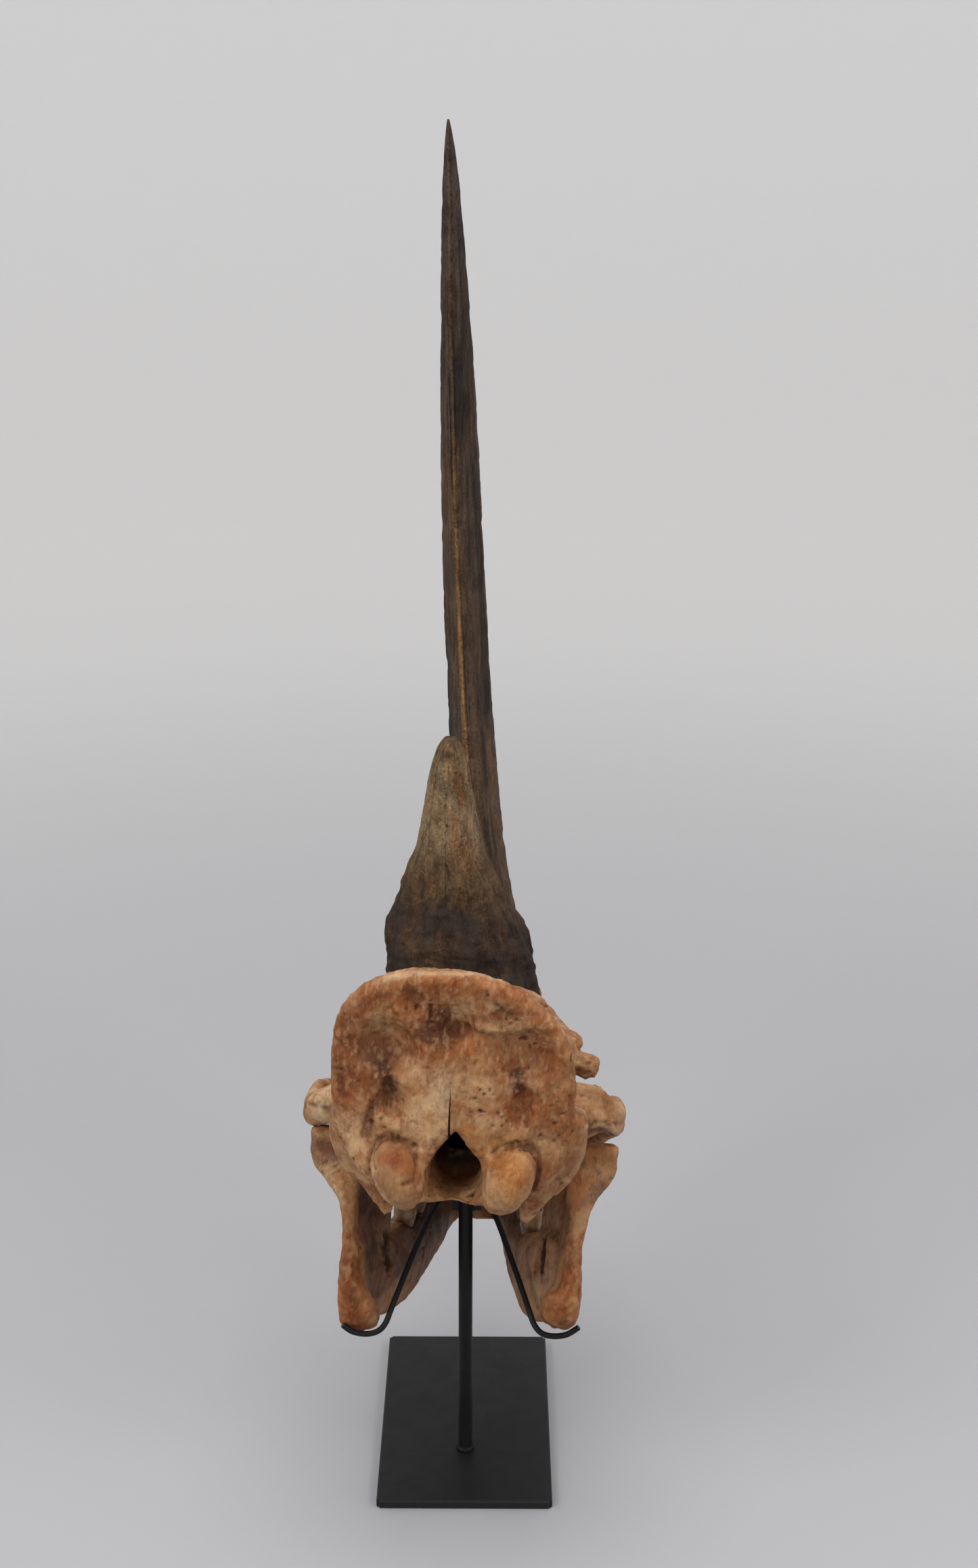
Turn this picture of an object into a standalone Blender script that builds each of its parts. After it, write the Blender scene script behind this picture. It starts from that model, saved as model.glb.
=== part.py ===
"""Woolly rhinoceros skull with its jaw and both horns, on its steel display stand.

The skull's own frame has its origin between the occipital condyles: +X is the animal's right,
+Y runs forward to the nose and +Z is up from the palate. Its sizes are in millimetres and are
turned into metres as each shape is made. The object's frame has its origin in the middle of
the base plate's underside.
"""

import math

import bmesh
import bpy
import numpy as np
from mathutils import Matrix, Vector

MM = 0.001
FIT_GAP = 0.0005  # clearance between pieces that touch

# Driving sizes, in millimetres
ZYGOMATIC_HALF_BREADTH = {-1: 180, 1: 172}  # left, right
OCCIPUT_HALF_BREADTH = 127
OCCIPITAL_CREST_HEIGHT = 221
CREST_SWAY = 6.5  # how far the upper nuchal wall stands over to the left
NASAL_TIP_REACH = 690
NASAL_HORN_LENGTH = 1098
FRONTAL_HORN_LENGTH = 322
BASE_SIZE = (200, 350, 10)
POST_DIAMETER = 16
CRADLE_DIAMETER = 6.5

# Where the skull is held above the base plate, and how it is turned
SKULL_PLACE = (-9.6, -272, 471)
SKULL_NOSE_DOWN = math.radians(12)
SKULL_TURN = math.radians(4)
SKULL_ROLL = math.radians(1.5)
JAW_DROP = 5.5
JAW_ROLL = math.radians(0.2)

BONE_VOXEL = 0.0045
CRANIUM_TRIANGLES = 3500
JAW_TRIANGLES = 1300


# Scene and materials

def clear_scene():
    for obj in list(bpy.data.objects):
        bpy.data.objects.remove(obj)


def make_material(name, color, roughness, metallic=0.0):
    material = bpy.data.materials.new(name)
    material.use_nodes = True
    shader = material.node_tree.nodes["Principled BSDF"]
    shader.inputs["Base Color"].default_value = (*color, 1)
    shader.inputs["Roughness"].default_value = roughness
    shader.inputs["Metallic"].default_value = metallic
    return material


def make_frame(name, place, rotation, parent=None):
    """An empty that carries pieces: place in millimetres, rotation as a matrix."""
    frame = bpy.data.objects.new(name, None)
    bpy.context.scene.collection.objects.link(frame)
    frame.parent = parent
    frame.location = Vector(place) * MM
    frame.rotation_euler = rotation.to_euler()
    return frame


def object_from(mesh_builder, name, material=None, parent=None):
    """Turns a finished bmesh into a linked object."""
    mesh = bpy.data.meshes.new(name)
    bmesh.ops.recalc_face_normals(mesh_builder, faces=mesh_builder.faces)
    mesh_builder.to_mesh(mesh)
    mesh_builder.free()
    obj = bpy.data.objects.new(name, mesh)
    obj.parent = parent
    if material:
        mesh.materials.append(material)
    bpy.context.scene.collection.objects.link(obj)
    return obj


def hide_helper(obj):
    obj.hide_render = True
    obj.display_type = "WIRE"
    return obj


# Curves through key rows, and closed shells lofted from them

def through(keys, steps):
    """A smooth line of rows through the key rows, with that many steps between neighbours."""
    rows = np.array([keys[0], *keys, keys[-1]], float)
    made = []
    for i in range(1, len(rows) - 2):
        before, start, end, after = rows[i - 1 : i + 3]
        for step in range(steps):
            t = step / steps
            made.append(
                0.5 * (2 * start + (end - before) * t
                       + (2 * before - 5 * start + 4 * end - after) * t ** 2
                       + (3 * start - before - 3 * end + after) * t ** 3)
            )
    made.append(rows[-2])
    return made


def rounded(angle, power):
    """A point of the unit superellipse: power 2 is an ellipse, and more is squarer."""
    c, s = math.cos(angle), math.sin(angle)
    return (math.copysign(abs(c) ** (2 / power), c), math.copysign(abs(s) ** (2 / power), s))


def loft(shell, rings):
    """Adds one closed shell to a bmesh: rings of points, joined in order and capped."""
    made = [[shell.verts.new(Vector(p) * MM) for p in ring] for ring in rings]
    sides = len(made[0])
    for low, high in zip(made, made[1:]):
        for i in range(sides):
            j = (i + 1) % sides
            shell.faces.new((low[i], low[j], high[j], high[i]))
    shell.faces.new(list(reversed(made[0])))
    shell.faces.new(made[-1])


def add_body(shell, keys, steps=3, sides=28, across=0):
    """A body of upright sections along Y. Each key is y, top, bottom, half width, power."""
    rings = []
    for y, top, bottom, half_width, power in through(keys, steps):
        middle, half_height = (top + bottom) / 2, (top - bottom) / 2
        ring = []
        for i in range(sides):
            u, v = rounded(2 * math.pi * i / sides, power)
            ring.append((across + u * half_width, y, middle + v * half_height))
        rings.append(ring)
    loft(shell, rings)


def add_limb(shell, keys, up=(0, 0, 1), steps=4, sides=14, power=2.4):
    """A limb along a path. Each key is x, y, z, half thickness, half height towards up."""
    rows = through(keys, steps)
    rings = []
    for i, row in enumerate(rows):
        here = Vector(row[:3])
        ahead = Vector(rows[min(i + 1, len(rows) - 1)][:3])
        behind = Vector(rows[max(i - 1, 0)][:3])
        along = (ahead - behind).normalized()
        side = along.cross(Vector(up)).normalized()
        rise = side.cross(along)
        ring = []
        for k in range(sides):
            u, v = rounded(2 * math.pi * k / sides, power)
            ring.append(here + side * (u * row[3]) + rise * (v * row[4]))
        rings.append(ring)
    loft(shell, rings)


def add_ball(shell, centre, radii, tilt=0.0):
    """An ellipsoid, tilted about Y."""
    matrix = (
        Matrix.Translation(Vector(centre) * MM)
        @ Matrix.Rotation(tilt, 4, "Y")
        @ Matrix.Diagonal((*(Vector(radii) * MM), 1))
    )
    bmesh.ops.create_icosphere(shell, subdivisions=3, radius=1, matrix=matrix)


def mirrored(keys, side):
    """Key rows of a right-hand piece, on the side asked for: 1 is right and -1 is left."""
    return [(side * row[0], *row[1:]) for row in keys]


# Modifiers

def add_remesh(obj, voxel):
    modifier = obj.modifiers.new("fuse", "REMESH")
    modifier.mode = "VOXEL"
    modifier.voxel_size = voxel


def add_smooth(obj, times):
    modifier = obj.modifiers.new("soften", "SMOOTH")
    modifier.factor = 0.5
    modifier.iterations = times


def add_cut(obj, cutter, name):
    modifier = obj.modifiers.new(name, "BOOLEAN")
    modifier.operation = "DIFFERENCE"
    modifier.object = cutter
    modifier.solver = "EXACT"


def add_decimate(obj, triangles):
    """Thins the mesh as it stands now to about that many triangles."""
    graph = bpy.context.evaluated_depsgraph_get()
    mesh = obj.evaluated_get(graph).to_mesh()
    mesh.calc_loop_triangles()
    share = triangles / len(mesh.loop_triangles)
    obj.evaluated_get(graph).to_mesh_clear()
    modifier = obj.modifiers.new("thin", "DECIMATE")
    modifier.ratio = share


def settle(obj):
    """Replaces the object's mesh by what its modifiers make of it."""
    graph = bpy.context.evaluated_depsgraph_get()
    mesh = bpy.data.meshes.new_from_object(obj.evaluated_get(graph))
    obj.modifiers.clear()
    obj.data = mesh


def swollen_copy(obj, name, gap):
    """A cutter of the same shape, moved out along its normals by the gap."""
    mesh = obj.data.copy()
    moved = [v.co + v.normal * gap for v in mesh.vertices]
    for vertex, place in zip(mesh.vertices, moved):
        vertex.co = place
    cutter = bpy.data.objects.new(name, mesh)
    cutter.parent = obj.parent
    cutter.matrix_parent_inverse = obj.matrix_parent_inverse
    cutter.location = obj.location
    bpy.context.scene.collection.objects.link(cutter)
    return hide_helper(cutter)


# Cranium

def add_occiput(shell):
    """The broad nuchal wall, leaning back to its crest and flaring from the braincase."""
    middle = 112
    rise = OCCIPITAL_CREST_HEIGHT - middle
    fall = middle + 36
    sides = 44
    # forward from the nuchal face, and the outline's share of its full size
    flare = ((0, 0.90), (7, 0.985), (16, 1.0), (26, 0.97), (40, 0.86), (62, 0.72), (95, 0.60))
    rings = []
    for forward, share in flare:
        ring = []
        for i in range(sides):
            angle = 2 * math.pi * i / sides
            # the left shoulder of the crest is the squarer one
            top_power = 1.9 if math.cos(angle) > 0 else 2.7
            u, v = rounded(angle, top_power if math.sin(angle) > 0 else 2.9)
            height = middle + v * (rise if v > 0 else fall)
            lean = max(0.0, height - 30) / 190
            sway = CREST_SWAY * min(1.0, max(0.0, (height - 20) / 60)) * (1 - forward / 95)
            x = u * OCCIPUT_HALF_BREADTH * share - sway
            z = 95 + (height - 95) * share
            ring.append((x, -6 - 44 * lean ** 1.5 + forward, z))
        rings.append(ring)
    loft(shell, rings)


def add_braincase(shell):
    add_body(shell, [
        (0, 150, -20, 84, 2.4), (60, 160, -34, 80, 2.2), (130, 150, -36, 72, 2.2),
        (200, 138, -20, 60, 2.2), (270, 128, -10, 62, 2.4), (330, 118, -30, 80, 2.6),
    ])
    add_body(shell, [
        (-4, -10, -30, 58, 2.4), (30, -6, -36, 42, 2.4), (90, -14, -42, 30, 2.4),
        (150, -14, -42, 31, 2.4), (222, -8, -36, 28, 2.4),
    ], sides=20)


def add_roof(shell):
    """Parietals, frontals and nasals, with the rough bosses that carried the horns."""
    add_body(shell, [
        (15, 204, 120, 96, 2.6), (70, 182, 90, 66, 2.4), (130, 162, 70, 56, 2.4),
        (190, 147, 60, 58, 2.4), (240, 138, 40, 82, 2.3), (285, 139, 24, 103, 2.2),
        (320, 139, 20, 107, 2.3), (362, 131, 20, 99, 2.4), (412, 118, 34, 84, 2.5),
        (460, 108, 50, 70, 2.4), (520, 104, 56, 70, 2.3), (575, 106, 56, 76, 2.3),
        (625, 94, 38, 66, 2.3), (664, 68, 6, 46, 2.3), (NASAL_TIP_REACH, 34, -24, 26, 2.2),
    ], sides=32)
    add_ball(shell, (0, 306, 112), (84, 78, 40))
    add_ball(shell, (0, 556, 82), (72, 80, 36))


def add_face(shell):
    add_body(shell, [
        (236, 50, -66, 76, 3.0), (270, 84, -72, 96, 3.2), (320, 100, -73, 101, 3.2),
        (370, 100, -73, 97, 3.2), (420, 98, -72, 84, 3.0), (458, 52, -69, 70, 2.8),
        (495, -4, -65, 53, 2.6), (530, -26, -60, 40, 2.4),
    ])
    for side in (-1, 1):
        add_limb(shell, mirrored([
            (40, 480, -42, 14, 20), (33, 540, -46, 13, 17), (27, 610, -50, 12, 14),
            (20, 676, -54, 13, 13),
        ], side))
    # the bony nasal septum and the solid front wall
    add_body(shell, [
        (400, 100, -50, 12, 3.0), (470, 96, -54, 10, 3.0), (560, 96, -60, 10, 3.0),
        (640, 80, -64, 14, 3.0), (672, 56, -66, 22, 2.6), (688, 26, -60, 19, 2.4),
    ], sides=20)


def add_cheeks(shell):
    """The joint blocks and the zygomatic arches, and the processes round the eye."""
    for side in (-1, 1):
        reach = ZYGOMATIC_HALF_BREADTH[side]
        open_up = 6 if side > 0 else 0  # the right joint stands open
        add_limb(shell, mirrored([
            (60, 112, 36, 38, 34), (110, 116, 38, 34, 29), (145, 122, 36 + open_up / 2, 27, 21 - open_up / 3),
            (reach - 12, 128, 28 + open_up, 15, 13),
        ], side), power=2.8)
        add_limb(shell, mirrored([
            (reach - 22, 116, 25 + open_up, 14, 13), (reach - 11, 150, 23, 12, 20),
            (reach - 10, 200, 22, 11, 23), (reach - 20, 250, 8, 12, 26),
            (reach - 36, 300, -10, 14, 30), (reach - 58, 348, -26, 20, 33),
            (reach - 84, 388, -35, 24, 30),
        ], side), power=2.6)
        # the broken spurs behind the eye
        add_limb(shell, mirrored([
            (96, 286, 92, 17, 15), (114, 284, 82, 12, 10), (128, 282, 72, 8, 8),
            (140, 280, 64, 9, 9),
        ], side), up=(0, 1, 0))
        add_ball(shell, (side * 112, 304, 86), (19, 22, 13))
        add_ball(shell, (side * 106, 366, 66), (14, 12, 18))
        add_ball(shell, (side * (reach - 32), 266, 30), (9, 15, 13))


def add_skull_base(shell):
    """Condyles, and the processes that hang below the ear and the jaw joint."""
    for side in (-1, 1):
        add_ball(shell, (side * 57, -12, -1), (24, 27, 37), side * math.radians(27))
        add_limb(shell, mirrored([
            (106, 22, 66, 27, 24), (110, 30, 30, 25, 22), (101, 42, -6, 19, 17),
            (92, 50, -22, 10, 10),
        ], side), up=(0, 1, 0))
        add_limb(shell, mirrored([
            (80, 26, 8, 24, 20), (84, 40, -20, 18, 15), (78, 50, -44, 12, 11),
            (72, 56, -62, 6, 7),
        ], side), up=(0, 1, 0))
        add_limb(shell, mirrored([
            (104, 96, 16, 20, 16), (101, 100, -16, 17, 12), (97, 106, -46, 9, 8),
        ], side), up=(0, 1, 0))
        add_limb(shell, mirrored([
            (34, 262, -46, 8, 16), (36, 232, -54, 7, 17), (37, 208, -66, 6, 11),
        ], side))


def add_great_hole(shell):
    """The pointed foramen magnum, whose floor slopes down to the notch between the condyles."""
    outline = [
        (0, 1.0), (0.16, 0.86), (0.48, 0.56), (0.82, 0.22), (1.0, -0.14), (0.96, -0.48),
        (0.66, -0.84), (0, -1.0),
    ]
    right = through([(x, z) for x, z in outline], 2)
    whole = right + [(-x, z) for x, z in reversed(right[1:-1])]
    rings = []
    # place along Y, top, bottom, half width
    for y, top, bottom, half_width in ((-70, 58, -58, 36), (-24, 53, -46, 32), (-8, 51, -40, 30),
                                       (14, 46, -29, 28), (40, 42, -23, 26), (70, 40, -20, 24)):
        middle, half_height = (top + bottom) / 2, (top - bottom) / 2
        rings.append([(x * half_width, y, middle + z * half_height) for x, z in whole])
    loft(shell, rings)


def skull_hollows():
    """Everything that is open in the cranium, as one cutter."""
    shell = bmesh.new()
    add_great_hole(shell)
    add_ball(shell, (0, 98, 52), (46, 74, 46))
    add_ball(shell, (0, 246, -56), (22, 52, 24))
    add_ball(shell, (0, 352, -86), (43, 130, 40))
    for side in (-1, 1):
        add_ball(shell, (side * 122, 334, 48), (52, 33, 28))
        add_ball(shell, (side * 92, 430, 4), (15, 13, 9))
        add_ball(shell, (side * 38, 492, 22), (27, 74, 34))
        # the two broad muscle hollows and the deep pair below them
        add_ball(shell, (side * 72, -86, 130), (60, 76, 50))
        add_ball(shell, (side * 66, -58, 74), (26, 56, 36))
        add_ball(shell, (side * 128, 62, 12), (26, 14, 13))
    add_ball(shell, (0, -98, 156), (40, 78, 42))
    cutter = object_from(shell, "skull_hollows")
    add_remesh(cutter, BONE_VOXEL)
    return hide_helper(cutter)


def build_cranium(frame, material):
    shell = bmesh.new()
    for add in (add_occiput, add_braincase, add_roof, add_face, add_cheeks, add_skull_base):
        add(shell)
    cranium = object_from(shell, "cranium", material)
    add_remesh(cranium, BONE_VOXEL)
    hollows = skull_hollows()
    add_cut(cranium, hollows, "open")
    add_remesh(cranium, BONE_VOXEL)
    cranium.modifiers[-1].name = "even"
    add_smooth(cranium, 7)
    add_decimate(cranium, CRANIUM_TRIANGLES)
    settle(cranium)
    cranium.parent = frame
    return cranium


# Lower jaw

def build_jaw(frame, material):
    shell = bmesh.new()
    for side in (-1, 1):
        lift = 24 if side > 0 else 6  # the right angle stands higher
        out = 9 if side > 0 else 0  # and further out
        # horizontal ramus, from the angle to the chin
        add_limb(shell, mirrored([
            (103, 104, -150 + lift, 13, 40), (96, 150, -164 + lift, 16, 46), (85, 210, -168, 21, 46),
            (75, 270, -166, 25, 45), (64, 330, -160, 25, 40), (51, 390, -152, 22, 33),
            (38, 440, -146, 20, 24), (29, 500, -137, 19, 17), (25, 546, -127, 18, 11),
        ], side), power=2.6)
        # ascending ramus
        add_limb(shell, mirrored([
            (99, 146, -178, 14, 46), (102, 160, -124, 11, 60), (107, 161, -76, 8, 52),
            (112, 158, -40, 8, 42), (118, 150, -18, 8, 32),
        ], side), up=(0, 1, 0), power=2.8)
        # thick rear border, up to the joint
        add_limb(shell, mirrored([
            (100 + out, 116, -204 + lift, 20, 13), (104 + out, 99, -184 + lift, 24, 18),
            (112 + out, 92, -142, 17, 14), (110 + out, 96, -100, 14, 12), (115 + out, 102, -62, 14, 12),
            (128 + out / 3, 112, -36, 20, 12), (139, 121, -16, 27, 13), (141, 124, -5, 29, 12),
        ], side), up=(0, 1, 0))
        add_limb(shell, mirrored([
            (86, 127, -4, 14, 9), (104, 127, 1, 15, 11), (130, 126, 3, 15, 12),
            (154, 124, 5, 14, 12), (168, 122, 4, 10, 11),
        ], side), sides=16)
        # coronoid process
        add_limb(shell, mirrored([
            (110, 178, -70, 8, 30), (111, 188, -20, 7, 20), (112, 196, 26, 7, 14),
            (112, 194, 58, 5, 8),
        ], side), up=(0, 1, 0))
    add_body(shell, [
        (404, -140, -158, 28, 2.4), (432, -128, -166, 40, 2.5), (480, -121, -158, 42, 2.5),
        (530, -115, -141, 44, 2.5), (560, -115, -130, 37, 2.3),
    ], sides=20)
    jaw = object_from(shell, "mandible", material)
    add_remesh(jaw, BONE_VOXEL)
    canals = bmesh.new()
    for side in (-1, 1):
        add_ball(canals, (side * 86, 158, -126), (11, 9, 17))
    cutter = hide_helper(object_from(canals, "jaw_canals"))
    add_cut(jaw, cutter, "open")
    add_remesh(jaw, BONE_VOXEL)
    jaw.modifiers[-1].name = "even"
    add_smooth(jaw, 6)
    add_decimate(jaw, JAW_TRIANGLES)
    settle(jaw)
    jaw.parent = frame
    return jaw


# Teeth

UPPER_GUM, UPPER_CROWN, UPPER_ROOT = -72, 26, 14
LOWER_GUM, LOWER_CROWN, LOWER_ROOT = -122.5, 24, 14
TOOTH_SPACE = 0.8
# name, length along the jaw, width across it, distance of its middle from the midline
UPPER_TEETH = (
    ("p2", 27, 28, 53), ("p3", 33, 38, 58), ("p4", 38, 44, 63),
    ("m1", 44, 50, 67), ("m2", 50, 53, 70), ("m3", 45, 48, 71),
)
LOWER_TEETH = (
    ("p2", 24, 17, 47), ("p3", 30, 22, 52), ("p4", 35, 26, 57),
    ("m1", 40, 29, 62), ("m2", 45, 30, 67), ("m3", 46, 28, 73),
)
UPPER_ROW_FRONT, LOWER_ROW_FRONT = 470, 462


def add_tooth(shell, middle, size, gum, crown, root, lobed):
    """A high crowned grinding tooth: a root in the jaw, a waist at the gum, a cupped top."""
    way = 1 if crown > 0 else -1
    # share of the footprint, and height from the gum, out to the worn surface
    steps = ((0.76, -way * root), (0.86, 0), (0.99, crown * 0.45), (0.94, crown))
    sides = 8
    rings = []
    for share, height in steps:
        ring = []
        for i in range(sides):
            angle = 2 * math.pi * (i + 0.5) / sides
            u, v = rounded(angle, 3.2)
            pinch = 1 - 0.08 * lobed * math.exp(-((v / 0.6) ** 2))
            ring.append((middle[0] + u * size[0] / 2 * share * pinch,
                         middle[1] + v * size[1] / 2 * share, gum + height))
        rings.append(ring)
    loft(shell, rings)


def tooth_rows():
    """Each tooth of the four rows: row name, tooth name, middle, size, and its row's heights."""
    for side, side_name in ((-1, "left"), (1, "right")):
        for row, teeth, front, heights in (
            ("upper", UPPER_TEETH, UPPER_ROW_FRONT, (UPPER_GUM, -UPPER_CROWN, UPPER_ROOT, 0)),
            ("lower", LOWER_TEETH, LOWER_ROW_FRONT, (LOWER_GUM, LOWER_CROWN, LOWER_ROOT, 1)),
        ):
            y = front
            for name, length, width, out in teeth:
                middle = (side * out, y - length / 2)
                yield row, f"{row}_{side_name}_{name}", middle, (width, length), heights
                y -= length + TOOTH_SPACE


def build_teeth(frames, material):
    """Makes the teeth, and the cutters that open their sockets in each jaw."""
    sockets = {"upper": bmesh.new(), "lower": bmesh.new()}
    for row, name, middle, size, heights in tooth_rows():
        tooth = bmesh.new()
        add_tooth(tooth, middle, size, *heights)
        obj = object_from(tooth, name, material, frames[row])
        obj.data.shade_smooth()
        gum, crown, root, lobed = heights
        grown = (size[0] + 1.4, size[1] + 1.4)
        add_tooth(sockets[row], middle, grown, gum, crown, root + 0.6, lobed)
    return {
        row: hide_helper(object_from(shell, row + "_sockets", parent=frames[row]))
        for row, shell in sockets.items()
    }


# Horns

def horn_rings(base, length, keys, lean, sway, bow, sides, count):
    """Rings of a horn: keys are share of length, half width, half depth, rear keel.

    lean is the forward lean in radians at the base and at the tip, and sway is how far the
    horn stands to the side, most of it gained near the base. bow is what its tip adds to that.
    """
    place = Vector(base)
    rings = []
    rows = through(keys, 6)
    shares = [row[0] for row in rows]
    for i in range(count):
        t = i / (count - 1)
        angle = lean[0] + (lean[1] - lean[0]) * t
        width, depth, keel = (
            float(np.interp(t, shares, [row[k] for row in rows])) for k in (1, 2, 3)
        )
        along = Vector((0, math.sin(angle), math.cos(angle)))
        ahead = Vector((0, math.cos(angle), -math.sin(angle)))
        side_shift = sway * (1 - (1 - t) ** 2.6) + bow * t ** 2.5
        ring = []
        for k in range(sides):
            turn = 2 * math.pi * k / sides
            u, v = math.cos(turn), math.sin(turn)
            narrow = 1 - keel * max(0.0, -v) ** 1.5
            ring.append(place + Vector((side_shift + u * width * narrow, 0, 0))
                        + ahead * (v * depth))
        rings.append(ring)
        place = place + along * (length / (count - 1))
    return rings


def build_horn(name, rings, frame, material, seat):
    shell = bmesh.new()
    loft(shell, rings)
    horn = object_from(shell, name, material, frame)
    add_cut(horn, seat, "seat")
    settle(horn)
    horn.data.shade_smooth()
    return horn


def build_horns(frame, material_front, material_rear, seat):
    front = horn_rings(
        (0, 556, 84), NASAL_HORN_LENGTH,
        [(0, 58, 104, 0), (0.03, 56, 103, 0.05), (0.09, 42, 97, 0.2), (0.18, 33, 91, 0.35),
         (0.31, 29.5, 85, 0.45), (0.45, 28, 76, 0.5), (0.60, 25, 65, 0.5),
         (0.70, 22, 55, 0.5), (0.78, 18.5, 46, 0.5), (0.86, 14.5, 35, 0.45),
         (0.92, 11, 25, 0.4), (0.96, 7.5, 16, 0.3), (0.985, 4, 8, 0.1), (1, 1.2, 2.5, 0)],
        (math.radians(13), math.radians(-32)), -74, -15, sides=14, count=21)
    rear = horn_rings(
        (-12, 300, 112), FRONTAL_HORN_LENGTH,
        [(0, 89, 98, 0), (0.12, 88, 97, 0), (0.22, 86, 94, 0), (0.30, 82, 88, 0),
         (0.37, 70, 76, 0.05), (0.44, 61, 68, 0.1), (0.52, 51, 60, 0.1), (0.60, 40, 50, 0.1),
         (0.75, 30.5, 40, 0.1), (0.85, 26, 33, 0.1), (0.92, 21.5, 26, 0), (0.97, 15, 18, 0),
         (1, 7, 8, 0)],
        (math.radians(4), math.radians(-16)), -34, 0, sides=14, count=15)
    build_horn("nasal_horn", front, frame, material_front, seat)
    build_horn("frontal_horn", rear, frame, material_rear, seat)


# Stand

def build_base_plate(material):
    width, depth, height = BASE_SIZE
    shell = bmesh.new()
    bmesh.ops.create_cube(shell, size=1, matrix=Matrix.Translation((0, 0, height / 2 * MM))
                          @ Matrix.Diagonal((width * MM, depth * MM, height * MM, 1)))
    upright = [e for e in shell.edges if abs(e.verts[0].co.z - e.verts[1].co.z) > 0.001]
    bmesh.ops.bevel(shell, geom=upright, offset=3 * MM, segments=2, affect="EDGES")
    plate = object_from(shell, "base_plate", material)
    edge = plate.modifiers.new("edge", "BEVEL")
    edge.width = 1.2 * MM
    edge.segments = 1
    edge.limit_method = "ANGLE"
    edge.angle_limit = math.radians(60)
    return plate


def add_turned(shell, centre, profile, sides=16):
    """A turned piece about an upright axis. Each profile row is radius, height."""
    rings = []
    for radius, height in profile:
        rings.append([
            (centre[0] + radius * math.cos(2 * math.pi * i / sides),
             centre[1] + radius * math.sin(2 * math.pi * i / sides), height)
            for i in range(sides)
        ])
    loft(shell, rings)


POST_PLACE = (0, -72)
POST_TOP = 372
BRACKET_LOW, BRACKET_HIGH = 318, 364


def build_post(material, seat):
    radius = POST_DIAMETER / 2
    floor = BASE_SIZE[2] + 0.3
    shell = bmesh.new()
    # a weld bead swells the foot
    add_turned(shell, POST_PLACE, [
        (radius + 3.2, floor), (radius + 2.8, floor + 1.4), (radius + 0.9, floor + 3.4),
        (radius, floor + 4.6), (radius, POST_TOP),
    ])
    object_from(shell, "post", material).data.shade_smooth()
    # the padded rest under the skull base
    shell = bmesh.new()
    add_turned(shell, POST_PLACE, [
        (15, POST_TOP + 0.3), (17, POST_TOP + 2), (17, POST_TOP + 34),
    ])
    rest = object_from(shell, "skull_rest", material)
    add_cut(rest, seat, "seat")
    settle(rest)


def cradle_path(side):
    """A rod from the bracket down and back, under the jaw angle, and up to its free end."""
    if side < 0:
        return [(-10, -58, 356), (-22, -70, 349), (-42.5, -104, 327), (-64, -160, 296),
                (-79, -201, 273), (-85, -213, 262), (-93, -218, 255), (-106, -219, 252),
                (-121, -219, 255), (-131, -219, 263)]
    return [(10, -58, 356), (18, -70, 349), (36, -104, 327), (56, -160, 296),
            (70, -202, 273), (76, -215, 262), (84, -221, 255), (96, -222, 252),
            (111, -222, 254), (124, -222, 263)]


def build_cradle(side, name, material=None, extra=0.0):
    """A cradle rod, or with a little extra radius the clearance for it."""
    keys = [Vector(p) for p in cradle_path(side)]
    keys[0] += (keys[0] - keys[1]).normalized() * extra
    points = through([tuple(p) for p in keys], 2)
    curve = bpy.data.curves.new(name, "CURVE")
    curve.dimensions = "3D"
    curve.bevel_depth = (CRADLE_DIAMETER / 2 + extra) * MM
    curve.bevel_resolution = 1
    curve.use_fill_caps = True
    spline = curve.splines.new("POLY")
    spline.points.add(len(points) - 1)
    for point, place in zip(spline.points, points):
        point.co = (*(Vector(place) * MM), 1)
    rod = bpy.data.objects.new(name, curve)
    if material:
        curve.materials.append(material)
    bpy.context.scene.collection.objects.link(rod)
    return rod


def cradle_clearance(side):
    """A cutter that keeps the rod clear of the bone and of its bore in the bracket."""
    rod = build_cradle(side, "rod_space", extra=0.5)
    graph = bpy.context.evaluated_depsgraph_get()
    mesh = bpy.data.meshes.new_from_object(rod.evaluated_get(graph))
    bpy.data.objects.remove(rod)
    cutter = bpy.data.objects.new("rod_clearance", mesh)
    bpy.context.scene.collection.objects.link(cutter)
    return hide_helper(cutter)


def build_bracket(material, rod_cutters):
    """The block behind the post, bored for the upper ends of the two cradle rods."""
    low, high = BRACKET_LOW, BRACKET_HIGH
    shell = bmesh.new()
    bmesh.ops.create_cube(shell, size=1, matrix=Matrix.Translation(
        (1 * MM, (POST_PLACE[1] + 17.4) * MM, (low + high) / 2 * MM))
        @ Matrix.Diagonal((34 * MM, 18 * MM, (high - low) * MM, 1)))
    bracket = object_from(shell, "bracket", material)
    for cutter in rod_cutters:
        add_cut(bracket, cutter, "bore")
    settle(bracket)


# Whole object

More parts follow.
